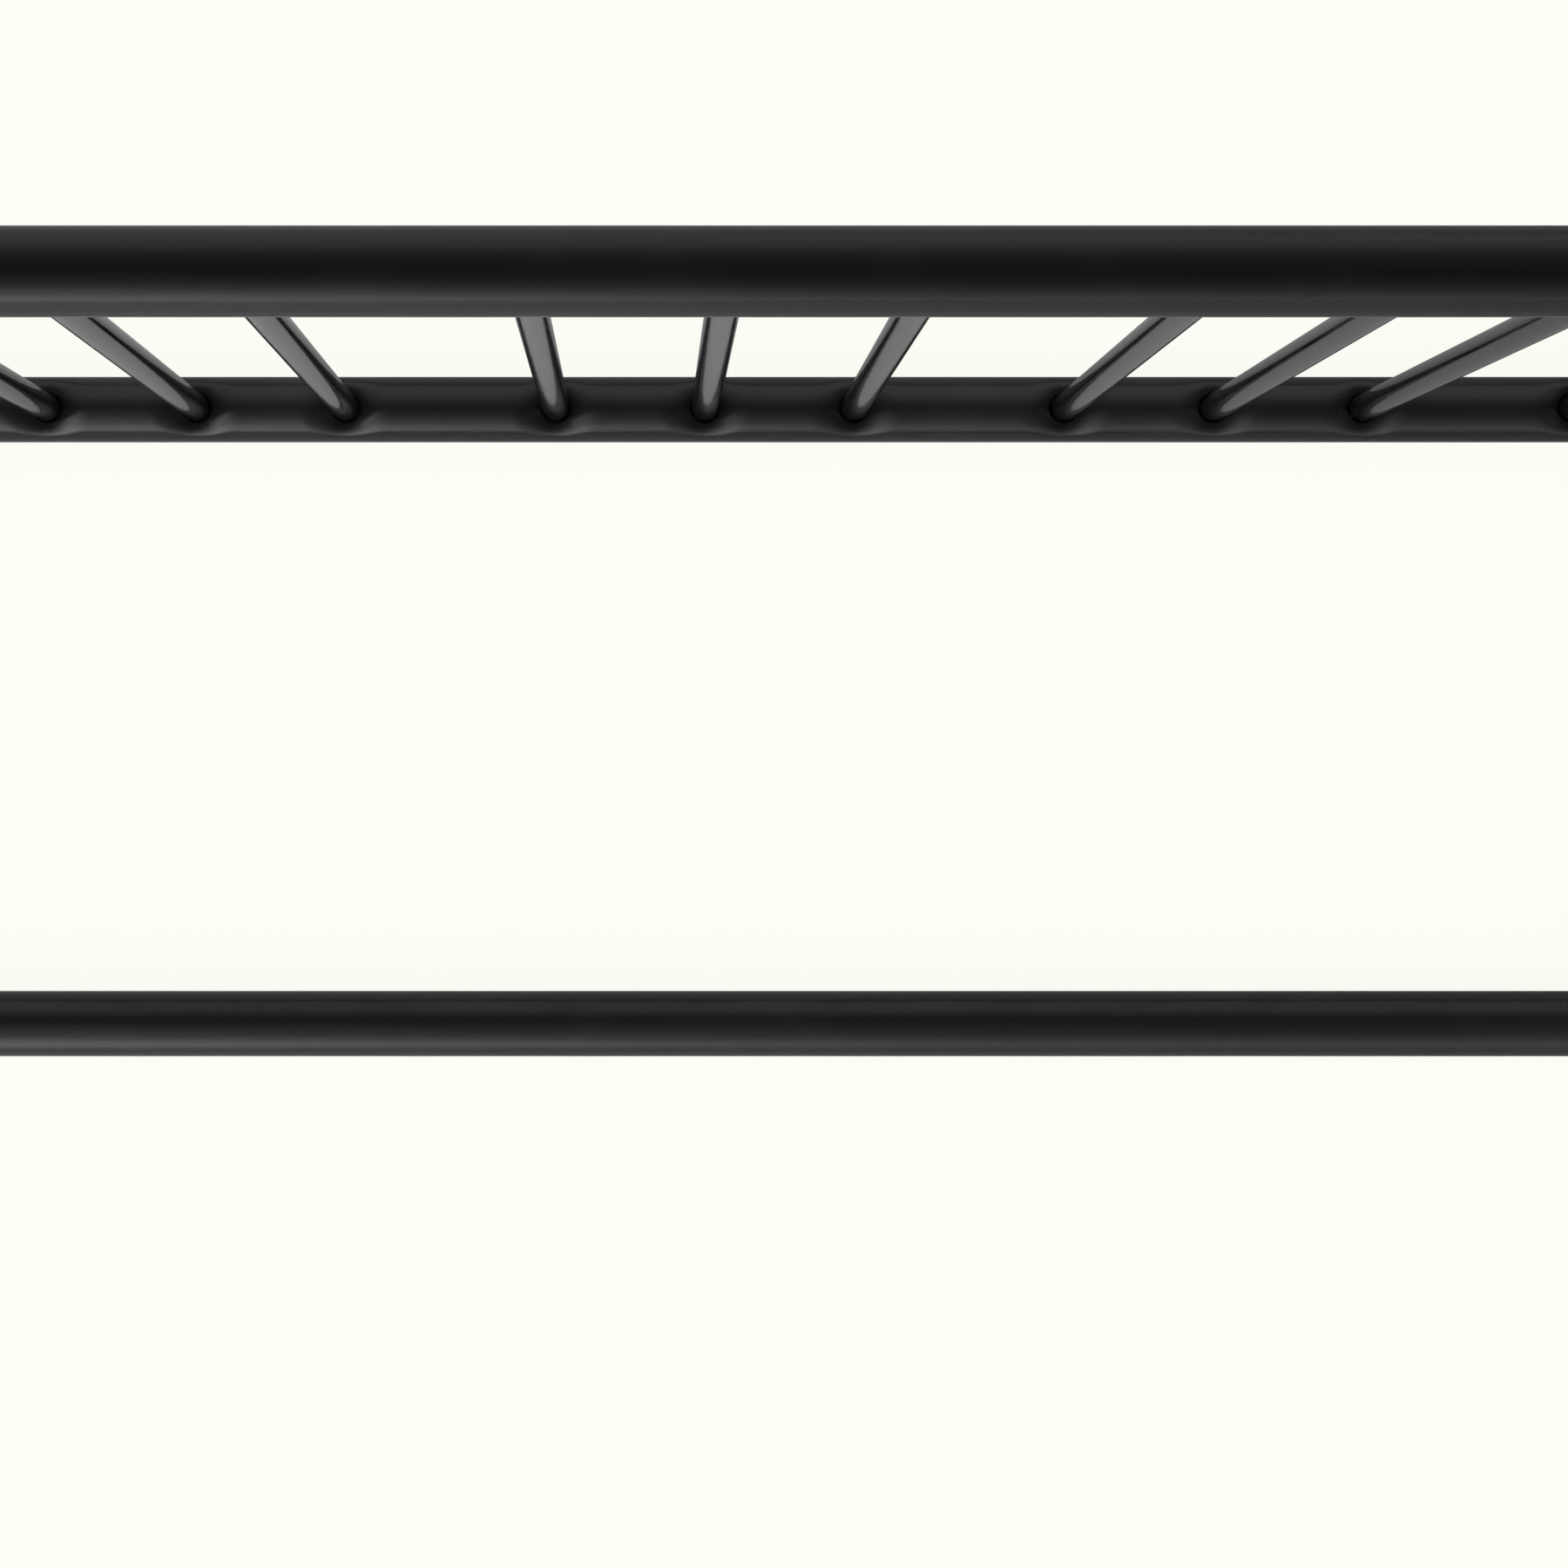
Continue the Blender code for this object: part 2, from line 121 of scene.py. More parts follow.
class NodeGraph:
    """Shader nodes of one material or of the world."""

    def __init__(self, tree: bpy.types.NodeTree) -> None:
        """Start with an empty tree."""
        self.tree = tree
        tree.nodes.clear()

    def add(
        self,
        kind: str,
        inputs: dict[str | int, object] | None = None,
        output: str | int = 0,
        **settings: object,
    ) -> Socket:
        """Add one node.

        Args:
            kind: Its type, after the word ShaderNode.
            inputs: What each input takes: an output to link, or a value to set.
            output: The output that is wanted.
            settings: Properties of the node.

        Returns:
            The wanted output.
        """
        node = self.tree.nodes.new(f"ShaderNode{kind}")
        for name, value in settings.items():
            setattr(node, name, value)
        for name, value in (inputs or {}).items():
            if isinstance(value, Socket):
                self.tree.links.new(value, node.inputs[name])
            else:
                node.inputs[name].default_value = value
        return node.outputs[output]

    def finish(self, kind: str, shader: Socket) -> None:
        """Add an output node of a kind and link the shader to it."""
        node = self.tree.nodes.new(f"ShaderNode{kind}")
        self.tree.links.new(shader, node.inputs["Surface"])

    def math(self, operation: str, *values: object) -> Socket:
        """One step of arithmetic on sockets or numbers."""
        return self.add("Math", dict(enumerate(values)), operation=operation)

    def noise(self, vector: Socket, size: float, detail: float = 2.0) -> Socket:
        """Even noise from 0 to 1 whose spots are about as wide as the size."""
        return self.add("TexNoise", {"Vector": vector, "Scale": 1 / size, "Detail": detail})

    def streaks(self, vector: Socket, length: float, width: float) -> Socket:
        """Noise drawn out along the vector's first coordinate."""
        scale = (1 / length, 1 / width, 1 / width)
        stretched = self.add("Mapping", {"Vector": vector, "Scale": scale})
        return self.noise(stretched, 1.0)

    def remap(
        self, value: Socket, spread: tuple[float, float], span: tuple[float, float]
    ) -> Socket:
        """The value, with its spread taken to the span and held at its ends."""
        return self.add("MapRange", {
            "Value": value,
            "From Min": spread[0],
            "From Max": spread[1],
            "To Min": span[0],
            "To Max": span[1],
        })

    def tint(self, amount: Socket, colour: Colour, other: Colour) -> Socket:
        """A colour that goes to the other one as the amount goes from 0 to 1."""
        inputs = {"Fac": amount, "Color1": (*colour, 1), "Color2": (*other, 1)}
        return self.add("MixRGB", inputs)

    def relief(self, height: Socket, depth: float, under: Socket | None = None) -> Socket:
        """Normal of bumps as deep as the depth in metres, on the normal under them."""
        inputs: dict[str | int, object] = {"Height": height, "Distance": depth}
        if under is not None:
            inputs["Normal"] = under
        return self.add("Bump", inputs)


def shaded_material(name: str, shade: Callable[[NodeGraph], Socket]) -> bpy.types.Material:
    """The material of that name, with what the shade makes, built when first asked for."""
    known = bpy.data.materials.get(name)
    if known is not None:
        return known
    material = bpy.data.materials.new(name)
    material.use_nodes = True
    graph = NodeGraph(material.node_tree)
    graph.finish("OutputMaterial", shade(graph))
    return material


@dataclass(frozen=True)
class Finish:
    """What all finishes share.

    Attributes:
        name: The material's name.
        slot: The material slot that it belongs to; not used.
    """

    name: str
    slot: str

    def material(self) -> bpy.types.Material:
        """The finish's material."""
        return shaded_material(self.name, self.shader)

    def shader(self, graph: NodeGraph) -> Socket:
        """The shader that the finish ends in."""
        raise NotImplementedError


@dataclass(frozen=True)
class PowderCoat(Finish):
    """Smooth black powder coat on steel tube.

    Its gloss drifts a little in patches and in faint lines along each tube, the surface has
    long shallow waves, an orange peel and a fine tooth, and a trace of dust lies in loose
    patches.

    Attributes:
        colour, dust: The clean coat, and the coat under dust.
        dust_cover: Most that dust covers.
        dust_size, dust_detail, dust_spread: Its pattern, and the part of it that shows.
        roughness: Mean roughness.
        drift: Change of roughness between patches, and between lines.
        patch_size, patch_detail: The patches.
        line_length, line_width, line_depth: The lines.
        wave_length, wave_width, wave_depth: The waves that drawing left in the tube.
        peel_size, peel_depth: The orange peel.
        tooth_size, tooth_depth: The fine tooth.
    """

    name: str = "smooth_black_powder_coat"
    slot: str = "powder_coat"
    colour: Colour = (0.0046, 0.0046, 0.0047)
    dust: Colour = (0.016, 0.0157, 0.0152)
    dust_cover: float = 0.30
    dust_size: float = 0.09
    dust_detail: float = 8.0
    dust_spread: tuple[float, float] = (0.5, 0.8)
    roughness: float = 0.19
    drift: float = 0.02
    patch_size: float = 0.045
    patch_detail: float = 4.0
    line_length: float = 0.25
    line_width: float = 0.0012
    line_depth: float = 0.000018
    wave_length: float = 0.045
    wave_width: float = 0.006
    wave_depth: float = 0.00011
    peel_size: float = 0.0026
    peel_depth: float = 0.000012
    tooth_size: float = 0.0005
    tooth_depth: float = 0.0000015

    def shader(self, graph: NodeGraph) -> Socket:
        """Principled shader on the piece's own coat coordinates."""
        coat = graph.add("Attribute", output="Vector", attribute_name=COAT_LAYER)
        patches = graph.noise(coat, self.patch_size, self.patch_detail)
        lines = graph.streaks(coat, self.line_length, self.line_width)
        drift = graph.math("ADD", *(
            graph.remap(pattern, NOISE_SPREAD, (-self.drift, self.drift))
            for pattern in (patches, lines)
        ))
        dusty = graph.remap(
            graph.noise(coat, self.dust_size, self.dust_detail),
            self.dust_spread,
            (0.0, self.dust_cover),
        )
        waves = graph.streaks(coat, self.wave_length, self.wave_width)
        relief = graph.relief(waves, self.wave_depth)
        relief = graph.relief(graph.noise(coat, self.peel_size, 1.0), self.peel_depth, relief)
        relief = graph.relief(lines, self.line_depth, relief)
        relief = graph.relief(graph.noise(coat, self.tooth_size), self.tooth_depth, relief)
        return graph.add("BsdfPrincipled", {
            "Base Color": graph.tint(dusty, self.colour, self.dust),
            "Roughness": graph.math("ADD", drift, self.roughness),
            "IOR": 1.5,
            "Normal": relief,
        })


@dataclass(frozen=True)
class GrainyFinish(Finish):
    """Finish with a fine grain, rubbed in patches.

    Attributes:
        colour, rubbed: The finish, and where it is rubbed.
        rubbed_share, rubbed_spread: Most that is rubbed, and the part of the patches where
            it shows.
        metallic, ior: What lies at the surface.
        roughness, drift: Mean roughness, and its change between patches.
        patch_size, patch_detail: The patches.
        grain_size, grain_depth, grain_detail: The grain.
    """

    colour: Colour
    rubbed: Colour
    rubbed_share: float = 0.35
    rubbed_spread: tuple[float, float] = (0.5, 0.75)
    metallic: float = 1.0
    ior: float = 1.5
    roughness: float = 0.36
    drift: float = -0.10
    patch_size: float = 0.004
    patch_detail: float = 6.0
    grain_size: float = 0.0004
    grain_depth: float = 0.00001
    grain_detail: float = 3.0

    def shader(self, graph: NodeGraph) -> Socket:
        """Principled shader on object coordinates."""
        place = graph.add("TexCoord", output="Object")
        patches = graph.noise(place, self.patch_size, self.patch_detail)
        drift = graph.remap(patches, NOISE_SPREAD, (-self.drift, self.drift))
        rubbed = graph.remap(patches, self.rubbed_spread, (0.0, self.rubbed_share))
        grain = graph.noise(place, self.grain_size, self.grain_detail)
        return graph.add("BsdfPrincipled", {
            "Base Color": graph.tint(rubbed, self.colour, self.rubbed),
            "Metallic": self.metallic,
            "Roughness": graph.math("ADD", drift, self.roughness),
            "IOR": self.ior,
            "Normal": graph.relief(grain, self.grain_depth),
        })


POWDER_COAT = PowderCoat()
# Copy of the powder coat for the grid and floor rails, with a lighter colour and more dust than the
# top rail's coat. The dust patches are dust, but the extra brightness is painted light: it
# brightens these rails as the studio light falls on them.
FLOOR_COAT_WITH_PAINTED_LIGHT = PowderCoat(
    "dusty_black_floor_rail_coat", colour=(0.0072, 0.0072, 0.0071), dust_cover=0.5, roughness=0.25
)
BAR_COAT = PowderCoat("smooth_black_bar_coat", roughness=0.07, wave_depth=0.00002)
BLACK_PLASTIC = GrainyFinish(
    "black_moulded_plastic", "black_plastic", colour=(0.010, 0.010, 0.0102),
    rubbed=(0.026, 0.0258, 0.0255), rubbed_share=0.6, rubbed_spread=(0.45, 0.8),
    metallic=0.0, ior=1.49, roughness=0.46, drift=0.08, patch_size=0.012, patch_detail=5.0,
    grain_size=0.0006, grain_depth=0.00003,
)
BLACK_STEEL = GrainyFinish(
    "blackened_steel", "black_screw", colour=(0.030, 0.030, 0.032), rubbed=(0.17, 0.165, 0.16)
)
BRIGHT_ZINC = GrainyFinish(
    "bright_zinc", "zinc", colour=(0.62, 0.62, 0.60), rubbed=(0.45, 0.45, 0.44), roughness=0.30
)


@dataclass(frozen=True)
class Skin:
    """Grid of points on a surface, joined by four-sided faces.

    Attributes:
        points: Places, as rows by columns by 3.
        coat: Coordinates that the powder coat reads, with the distance along the tube first.
        rows_meet: Whether the last row is joined to the first.
        columns_meet: Whether the last column is joined to the first.
        keep: Which faces are there. None keeps them all.
    """

    points: Array
    coat: Array
    rows_meet: bool = False
    columns_meet: bool = True
    keep: NDArray[np.bool_] | None = None

    def faces(self) -> Counts:
        """Corners of the face between each two rows and each two columns, as point numbers."""
        rows, columns = self.points.shape[:2]
        numbers = np.arange(rows * columns).reshape(rows, columns)
        if self.rows_meet:
            numbers = np.vstack((numbers, numbers[:1]))
        if self.columns_meet:
            numbers = np.hstack((numbers, numbers[:, :1]))
        corners = np.stack(
            (numbers[:-1, :-1], numbers[:-1, 1:], numbers[1:, 1:], numbers[1:, :-1]), axis=-1
        )
        return corners.reshape(-1, 4) if self.keep is None else corners[self.keep]


def straight_skin(points: Array, axis: Axis, rows_meet: bool = False) -> Skin:
    """Skin of a straight piece, whose coat follows its axis."""
    return Skin(points, points[..., list(axis.value)], rows_meet)


def make_piece(name: str, skins: Sequence[Skin], finish: Finish, *nodes: str) -> None:
    """Make one closed piece of grids whose borders coincide, riding on the rack.

    Args:
        name: The piece's name.
        skins: The grids. Points that no face uses are dropped, and points that coincide are
            merged, which closes seams and poles.
        finish: What it is finished in.
        nodes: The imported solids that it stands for.
    """
    sizes = [skin.points[..., 0].size for skin in skins]
    starts = np.cumsum([0, *sizes[:-1]])
    points = np.concatenate([skin.points.reshape(-1, 3) for skin in skins])
    coat = np.concatenate([skin.coat.reshape(-1, 3) for skin in skins])
    faces = np.concatenate([skin.faces() + start for skin, start in zip(skins, starts)])
    used, corners = np.unique(faces, return_inverse=True)
    mesh = bpy.data.meshes.new(name)
    mesh.from_pydata(points[used].tolist(), [], corners.reshape(-1, 4).tolist())
    layer = mesh.attributes.new(COAT_LAYER, "FLOAT_VECTOR", "POINT")
    layer.data.foreach_set("vector", coat[used].ravel())
    form = bmesh.new()
    form.from_mesh(mesh)
    bmesh.ops.remove_doubles(form, verts=form.verts, dist=MERGE_DISTANCE)
    bmesh.ops.recalc_face_normals(form, faces=form.faces)
    form.to_mesh(mesh)
    form.free()
    mesh.shade_smooth()
    mesh.set_sharp_from_angle(angle=SHARP_ANGLE)
    mesh.materials.append(finish.material())
    piece = bpy.data.objects.new(name, mesh)
    bpy.context.scene.collection.objects.link(piece)
    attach(piece, "root")
    if nodes:
        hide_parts(*nodes)
    LOG.info("%s: %d faces", name, len(mesh.polygons))


def turn_angles(columns: int) -> Array:
    """Angle of each column round a full turn."""
    return np.arange(columns) * FULL_TURN / columns


def arc(start: float, end: float, steps: int) -> Array:
    """Angles from start to end in degrees, both kept, in radians."""
    return np.radians(np.linspace(start, end, steps + 1))


def stacked(*rows: Sequence[float] | Array) -> Array:
    """Numbers of a profile's rows, one after the other, as a column."""
    return np.concatenate([np.atleast_1d(row) for row in rows])[:, None]


def turned(centre: Place, axis: Axis, along: Array, radius: Array, columns: int) -> Array:
    """Points of a shape turned round an axis.

    Point (i, j) is the centre, plus along (i, j) on the axis, plus radius (i, j) times the
    direction across the axis at column j's angle.

    Args:
        centre: A place on the axis.
        axis: The axis.
        along: Place on the axis of each row or point.
        radius: Radius of each row or point.
        columns: How many columns go round.

    Returns:
        The points, as rows by columns by 3.
    """
    angle = turn_angles(columns)
    offsets = np.broadcast_arrays(along, radius * np.cos(angle), radius * np.sin(angle))
    points = np.empty((*offsets[0].shape, 3))
    for direction, offset in zip(axis.value, offsets):
        points[..., direction] = centre[direction] + offset
    return points


def unevenness(along: Array, angle: Array, depth: float, seed: int) -> Array:
    """How far a drawn tube's wall lies inside its true radius.

    The mean of a few waves, each a cosine of so many turns round the tube times a cosine along
    it, taken to run from 0 to the depth.
    """
    chance = np.random.default_rng(seed)
    waves = 0.0
    for lobe in UNEVEN_LOBES:
        pitch, phase = chance.uniform(*UNEVEN_PITCHES), chance.uniform(0, FULL_TURN, 2)
        waves += np.cos(lobe * angle + phase[0]) * np.cos(FULL_TURN * along / pitch + phase[1])
    return depth * (0.5 + 0.5 * waves / len(UNEVEN_LOBES))


@dataclass(frozen=True)
class Stock:
    """Tube and bar that the rack is built of.

    Attributes:
        tube_radius, tube_wall: Rails, arches and base tubes.
        bar_radius, bar_wall: Upright bars.
        gap: Clearance between pieces that meet.
        uneven: Depth of the tubes' unevenness.
        edge: Rounding of cut ends.
    """

    tube_radius: float
    tube_wall: float = 0.0020
    bar_radius: float = 0.0080
    bar_wall: float = 0.0015
    gap: float = 0.0003
    uneven: float = 0.00005
    edge: float = 0.0004

    @property
    def bore_radius(self) -> float:
        """Inner radius of a tube."""
        return self.tube_radius - self.tube_wall


@dataclass(frozen=True)
class Layout:
    """Places that the sub-assemblies share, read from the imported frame.

    Attributes:
        stock: The tube and bar.
        top_z: Axis of the top rail.
        floor_z: Axis of the tubes that lie on the floor.
        bars_x: The bars, from left to right.
        bars_z: Lower and upper end of the bars.
        frame_x: Distance of each end frame from the middle.
        floor_rail_y: Distance of each floor rail from the middle.
        base_half: Half the length of a base tube.
    """

    stock: Stock
    top_z: float
    floor_z: float
    bars_x: tuple[float, ...]
    bars_z: tuple[float, float]
    frame_x: float
    floor_rail_y: float
    base_half: float

    @classmethod
    def from_frame(cls, nodes: dict[str, bpy.types.Object]) -> Layout:
        """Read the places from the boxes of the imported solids."""
        bars = [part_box(name) for name in sorted(nodes) if name.startswith("bar_")]
        top, grid, rear = (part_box(f"{name}_rail") for name in ("top", "grid", "rear_floor"))
        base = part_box("right_base_tube")
        return cls(
            stock=Stock(tube_radius=(grid[1].z - grid[0].z) / 2),
            top_z=(top[0].z + top[1].z) / 2,
            floor_z=(grid[0].z + grid[1].z) / 2,
            bars_x=tuple((low.x + high.x) / 2 for low, high in bars),
            bars_z=(bars[0][0].z, bars[0][1].z),
            frame_x=(base[0].x + base[1].x) / 2,
            floor_rail_y=(rear[0].y + rear[1].y) / 2,
            base_half=base[1].y,
        )


@dataclass(frozen=True)
class FrameLine:
    """Centre line of an end frame: the base tube's axis, and the arch's above it.

    Attributes:
        layout: The shared places.
        bend_radius: Radius of the arch's bend, at the tube's axis.
        foot_inset: From a floor rail's axis to the axis of the arch's foot.
    """

    layout: Layout
    bend_radius: float = 0.1143
    foot_inset: float = 0.052

    @property
    def foot_y(self) -> float:
        """Distance of each foot from the middle, at the base tube's axis."""
        return self.layout.floor_rail_y - self.foot_inset

    @property
    def bend_z(self) -> float:
        """Height of the bend's centre."""
        return self.layout.top_z - self.bend_radius

    @property
    def lean(self) -> float:
        """Angle of the legs from upright.

        A leg touches the bend's circle. At the foot, the angle between the leg's normal and
        the line to the bend's centre has a cosine of the bend's radius over that line, and
        the line's own slope is taken off it.
        """
        drop = self.bend_z - self.layout.floor_z
        reach = math.hypot(self.foot_y, drop)
        return math.acos(self.bend_radius / reach) - math.atan2(drop, self.foot_y)

    def side_reach(self, y: Array, z: Array, radius: float) -> Array:
        """How far a frame's tube of that radius reaches in X from the frame's own plane.

        At a place d off the tube's centre line in that plane, it is the root of the radius
        squared less d squared. The line is the bend's circle above the bend's centre, and the
        base tube's axis near the floor.
        """
        off_base = z - self.layout.floor_z
        off_bend = np.hypot(y, z - self.bend_z) - self.bend_radius
        off = np.where(z > self.bend_z, off_bend, off_base)
        return np.sqrt(np.maximum(radius ** 2 - off ** 2, 0.0))

    def coped(self, points: Array, start: float) -> Array:
        """Draw in a rail's points past the start, so that its ends fit round the frames.

        A point is drawn in by the frame tube's reach at its own place, in the share of the
        way that it has gone from the start to the frame.
        """
        x, y, z = np.moveaxis(points, -1, 0)
        stock, frame_x = self.layout.stock, self.layout.frame_x
        share = np.clip((np.abs(x) - start) / (frame_x - start), 0, 1)
        reach = self.side_reach(y, z, stock.tube_radius + stock.gap)
        return np.stack((x - np.sign(x) * share * reach, y, z), axis=-1)


@dataclass(frozen=True)
class PunchedRail:
    """Rail with a row of holes punched in one wall, each in the dish that the punch leaves.

    Each wall is a grid round the tube. Round a hole, a square patch of the grid is drawn into
    rings: circles at the hole, which turn into the patch's outline further out. The faces
    inside the hole's ring are left out, and a strip lines the hole.

    Attributes:
        node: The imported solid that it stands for.
        line: The end frames' centre line.
        axis_z: Height of the rail's axis.
        face: Which wall is punched.
        seed: Chooses the tube's unevenness.
        dish_depth: How far the wall is pushed in at the bar.
        dish_half: From the bar's axis to the dish's rim, along the rail.
        stretch: How much nearer to the bar the rim is round the rail than along it.
        lip: Radius of the hole's edge.
        patch_half: Half a patch's length.
        patch_angle: Half a patch's width, as an angle round the tube.
        hole_ring, lip_rings, rings: Ring of the hole, rings that round its edge, all rings.
        plain_columns: Columns round the rest of the tube.
        plain_pitch: Most that rows lie apart between the patches.
    """

    node: str
    line: FrameLine
    axis_z: float
    face: Face
    seed: int
    dish_depth: float = 0.0068
    dish_half: float = 0.0262
    stretch: float = 1.04
    lip: float = 0.0011
    patch_half: float = 0.0290
    patch_angle: float = math.radians(76)
    hole_ring: int = 5
    lip_rings: int = 3
    rings: int = 18
    plain_columns: int = 37
    plain_pitch: float = 0.012

    @property
    def outside(self) -> int:
        """Ring number of what lies in no patch."""
        return 2 * self.rings

    def rows(self) -> tuple[Array, Counts, Array]:
        """Rows of a wall, from left to right.

        Returns:
            Their places along the rail, their signed ring numbers, and the place of the bar
            whose patch they are in.
        """
        layout = self.line.layout
        steps = np.arange(-self.rings, self.rings + 1)
        places, numbers, bars = [], [], []
        last = -layout.frame_x
        for bar in (*layout.bars_x, None):
            following = layout.frame_x if bar is None else bar - self.patch_half
            count = math.ceil((following - last) / self.plain_pitch)
            first_kept, end_kept = (1 if places else 0), (count + 1 if bar is None else count)
            plain = np.linspace(last, following, count + 1)[first_kept:end_kept]
            places.append(plain)
            numbers.append(np.full(len(plain), self.outside))
            bars.append(np.zeros(len(plain)))
            if bar is not None:
                places.append(bar + steps * self.patch_half / self.rings)
                numbers.append(steps)
                bars.append(np.full(len(steps), bar))
                last = bar + self.patch_half
        return np.concatenate(places), np.concatenate(numbers), np.concatenate(bars)

    def columns(self) -> tuple[Array, Counts]:
        """Angle of each column from the punched wall's crown, and its signed ring number."""
        steps = np.arange(-self.rings, self.rings + 1)
        rest = np.linspace(self.patch_angle, FULL_TURN - self.patch_angle, self.plain_columns + 2)
        angles = np.concatenate((steps * self.patch_angle / self.rings, rest[1:-1]))
        return angles, np.concatenate((steps, np.full(self.plain_columns, self.outside)))

    def ring_radii(self) -> Array:
        """Radius of each ring.

        It grows evenly to the hole, goes over the hole's edge by even angles of a quarter
        circle, and grows evenly again from there to the patch's outline.
        """
        stock = self.line.layout.stock
        hole = stock.bar_radius + stock.gap
        inside = hole * np.arange(self.hole_ring) / self.hole_ring
        edge = hole + self.lip * (1 - np.cos(arc(0, 90, self.lip_rings)))
        steps = self.rings - self.hole_ring - self.lip_rings
        outside = np.linspace(edge[-1], self.patch_half, steps + 1)[1:]
        return np.concatenate((inside, edge, outside))

    def dished(self, along: Array, across: Array, height: Array, fall: float) -> Array:
        """Height of a wall above the rail's axis, once it is punched.

        The tube's height goes down by the dish's depth times the square of the share of the
        way from the rim to the bar. The distance runs along the rail and round it, and is
        stretched round it. Near the hole the outer wall drops round a quarter circle.

        Args:
            along, across: Offset from the bar's axis.
            height: Height of the tube.
            fall: How far the wall lies under the outer one.
        """
        stock = self.line.layout.stock
        round_rail = np.hypot(across, height) * np.arctan2(across, height)
        distance = np.hypot(along, self.stretch * round_rail)
        rise = self.dish_half - stock.bar_radius
        dish = self.dish_depth * np.clip((self.dish_half - distance) / rise, 0, 1) ** 2
        rim = stock.bar_radius + stock.gap + self.lip
        over = np.clip(rim - np.hypot(along, across), 0, self.lip)
        edge = self.lip - np.sqrt(self.lip ** 2 - over ** 2)
        return height - dish - (edge if fall == 0 else 0)

    def wall(self, fall: float) -> tuple[Array, Counts]:
        """One wall of the rail, the outer one or the bore.

        In a patch, a grid point is blended from its place on a circle to its place on a
        rectangle, the more the further out its ring is. Its angle on the circle goes evenly
        with its place along the ring. Both are places along the rail and angles round it.

        Args:
            fall: How far the wall lies under the outer one.

        Returns:
            The points, and the ring number of each.
        """
        stock = self.line.layout.stock
        radius = stock.tube_radius - fall
        places, row_rings, bars = self.rows()
        angles, column_rings = self.columns()
        bar = bars[:, None]
        i, j = np.broadcast_arrays(row_rings[:, None], column_rings[None, :])
        ring = np.maximum(np.abs(i), np.abs(j))
        inside = ring <= self.rings
        span = np.where(inside, np.maximum(ring, 1), self.outside)
        share_x, share_y = i / span, j / span
        turn = np.arctan2(np.tan(math.pi / 4 * share_y), np.tan(math.pi / 4 * share_x))
        radii = self.ring_radii()
        ring_radius = radii[np.where(inside, ring, 0)]
        first = self.hole_ring + self.lip_rings
        blend = np.clip((ring - first) / (self.rings - first), 0, 1)
        blend = blend ** 2 * (3 - 2 * blend)
        ring_x = ring_radius * ((1 - blend) * np.cos(turn) + blend * share_x)
        circle = np.arcsin(np.minimum(ring_radius, radii[first]) * np.sin(turn) / radius)
        circle *= np.maximum(ring_radius / radii[first], 1)
        square = ring_radius / self.patch_half * self.patch_angle * share_y
        ring_y = radius * np.sin((1 - blend) * circle + blend * square)
        y = np.where(inside, ring_y, radius * np.sin(angles))
        x = np.where(inside, bar + ring_x, places[:, None])
        tube = np.sqrt(np.maximum(radius ** 2 - ring_y ** 2, 0))
        punched = self.dished(ring_x, ring_y, tube, fall)
        height = np.where(inside, punched, radius * np.cos(angles))
        true = 1 - unevenness(x, np.arctan2(y, height), stock.uneven, self.seed) / radius
        points = np.stack((x, y * true, self.axis_z + self.face.value * height * true), axis=-1)
        return self.line.coped(points, self.line.layout.bars_x[-1] + self.patch_half), ring

    def linings(self, walls: Sequence[Array]) -> list[Skin]:
        """Strip between the outer wall and the bore in each hole."""
        m = self.hole_ring
        up, down = np.arange(-m, m), np.arange(m, -m, -1)
        steps = 2 * m
        i = np.concatenate((np.full(steps, m), down, np.full(steps, -m), up))
        j = np.concatenate((up, np.full(steps, m), down, np.full(steps, -m)))
        middles = np.flatnonzero(self.rows()[1] == 0)
        rings = [wall[middles[:, None] + i, self.rings + j] for wall in walls]
        return [straight_skin(np.stack(pair), Axis.X) for pair in zip(*rings)]

    def build(self) -> None:
        """Make the rail: out along its outer wall, and back along its bore."""
        outer, ring = self.wall(0.0)
        bore, _ = self.wall(self.line.layout.stock.tube_wall)
        rings = np.vstack((ring, ring[::-1]))
        for axis in (0, 1):
            rings = np.maximum(rings, np.roll(rings, -1, axis))
        points = np.concatenate((outer, bore[::-1]))
        coat = points[..., list(Axis.X.value)]
        tube = Skin(points, coat, rows_meet=True, keep=rings > self.hole_ring)
        skins = [tube, *self.linings((outer, bore))]
        # The grid rail gets the floor rails' coat, lightened by painted light; the top rail gets
        # the plain coat.
        finish = FLOOR_COAT_WITH_PAINTED_LIGHT if self.face is Face.TOP else POWDER_COAT
        make_piece(f"finished_{self.node}", skins, finish, self.node)


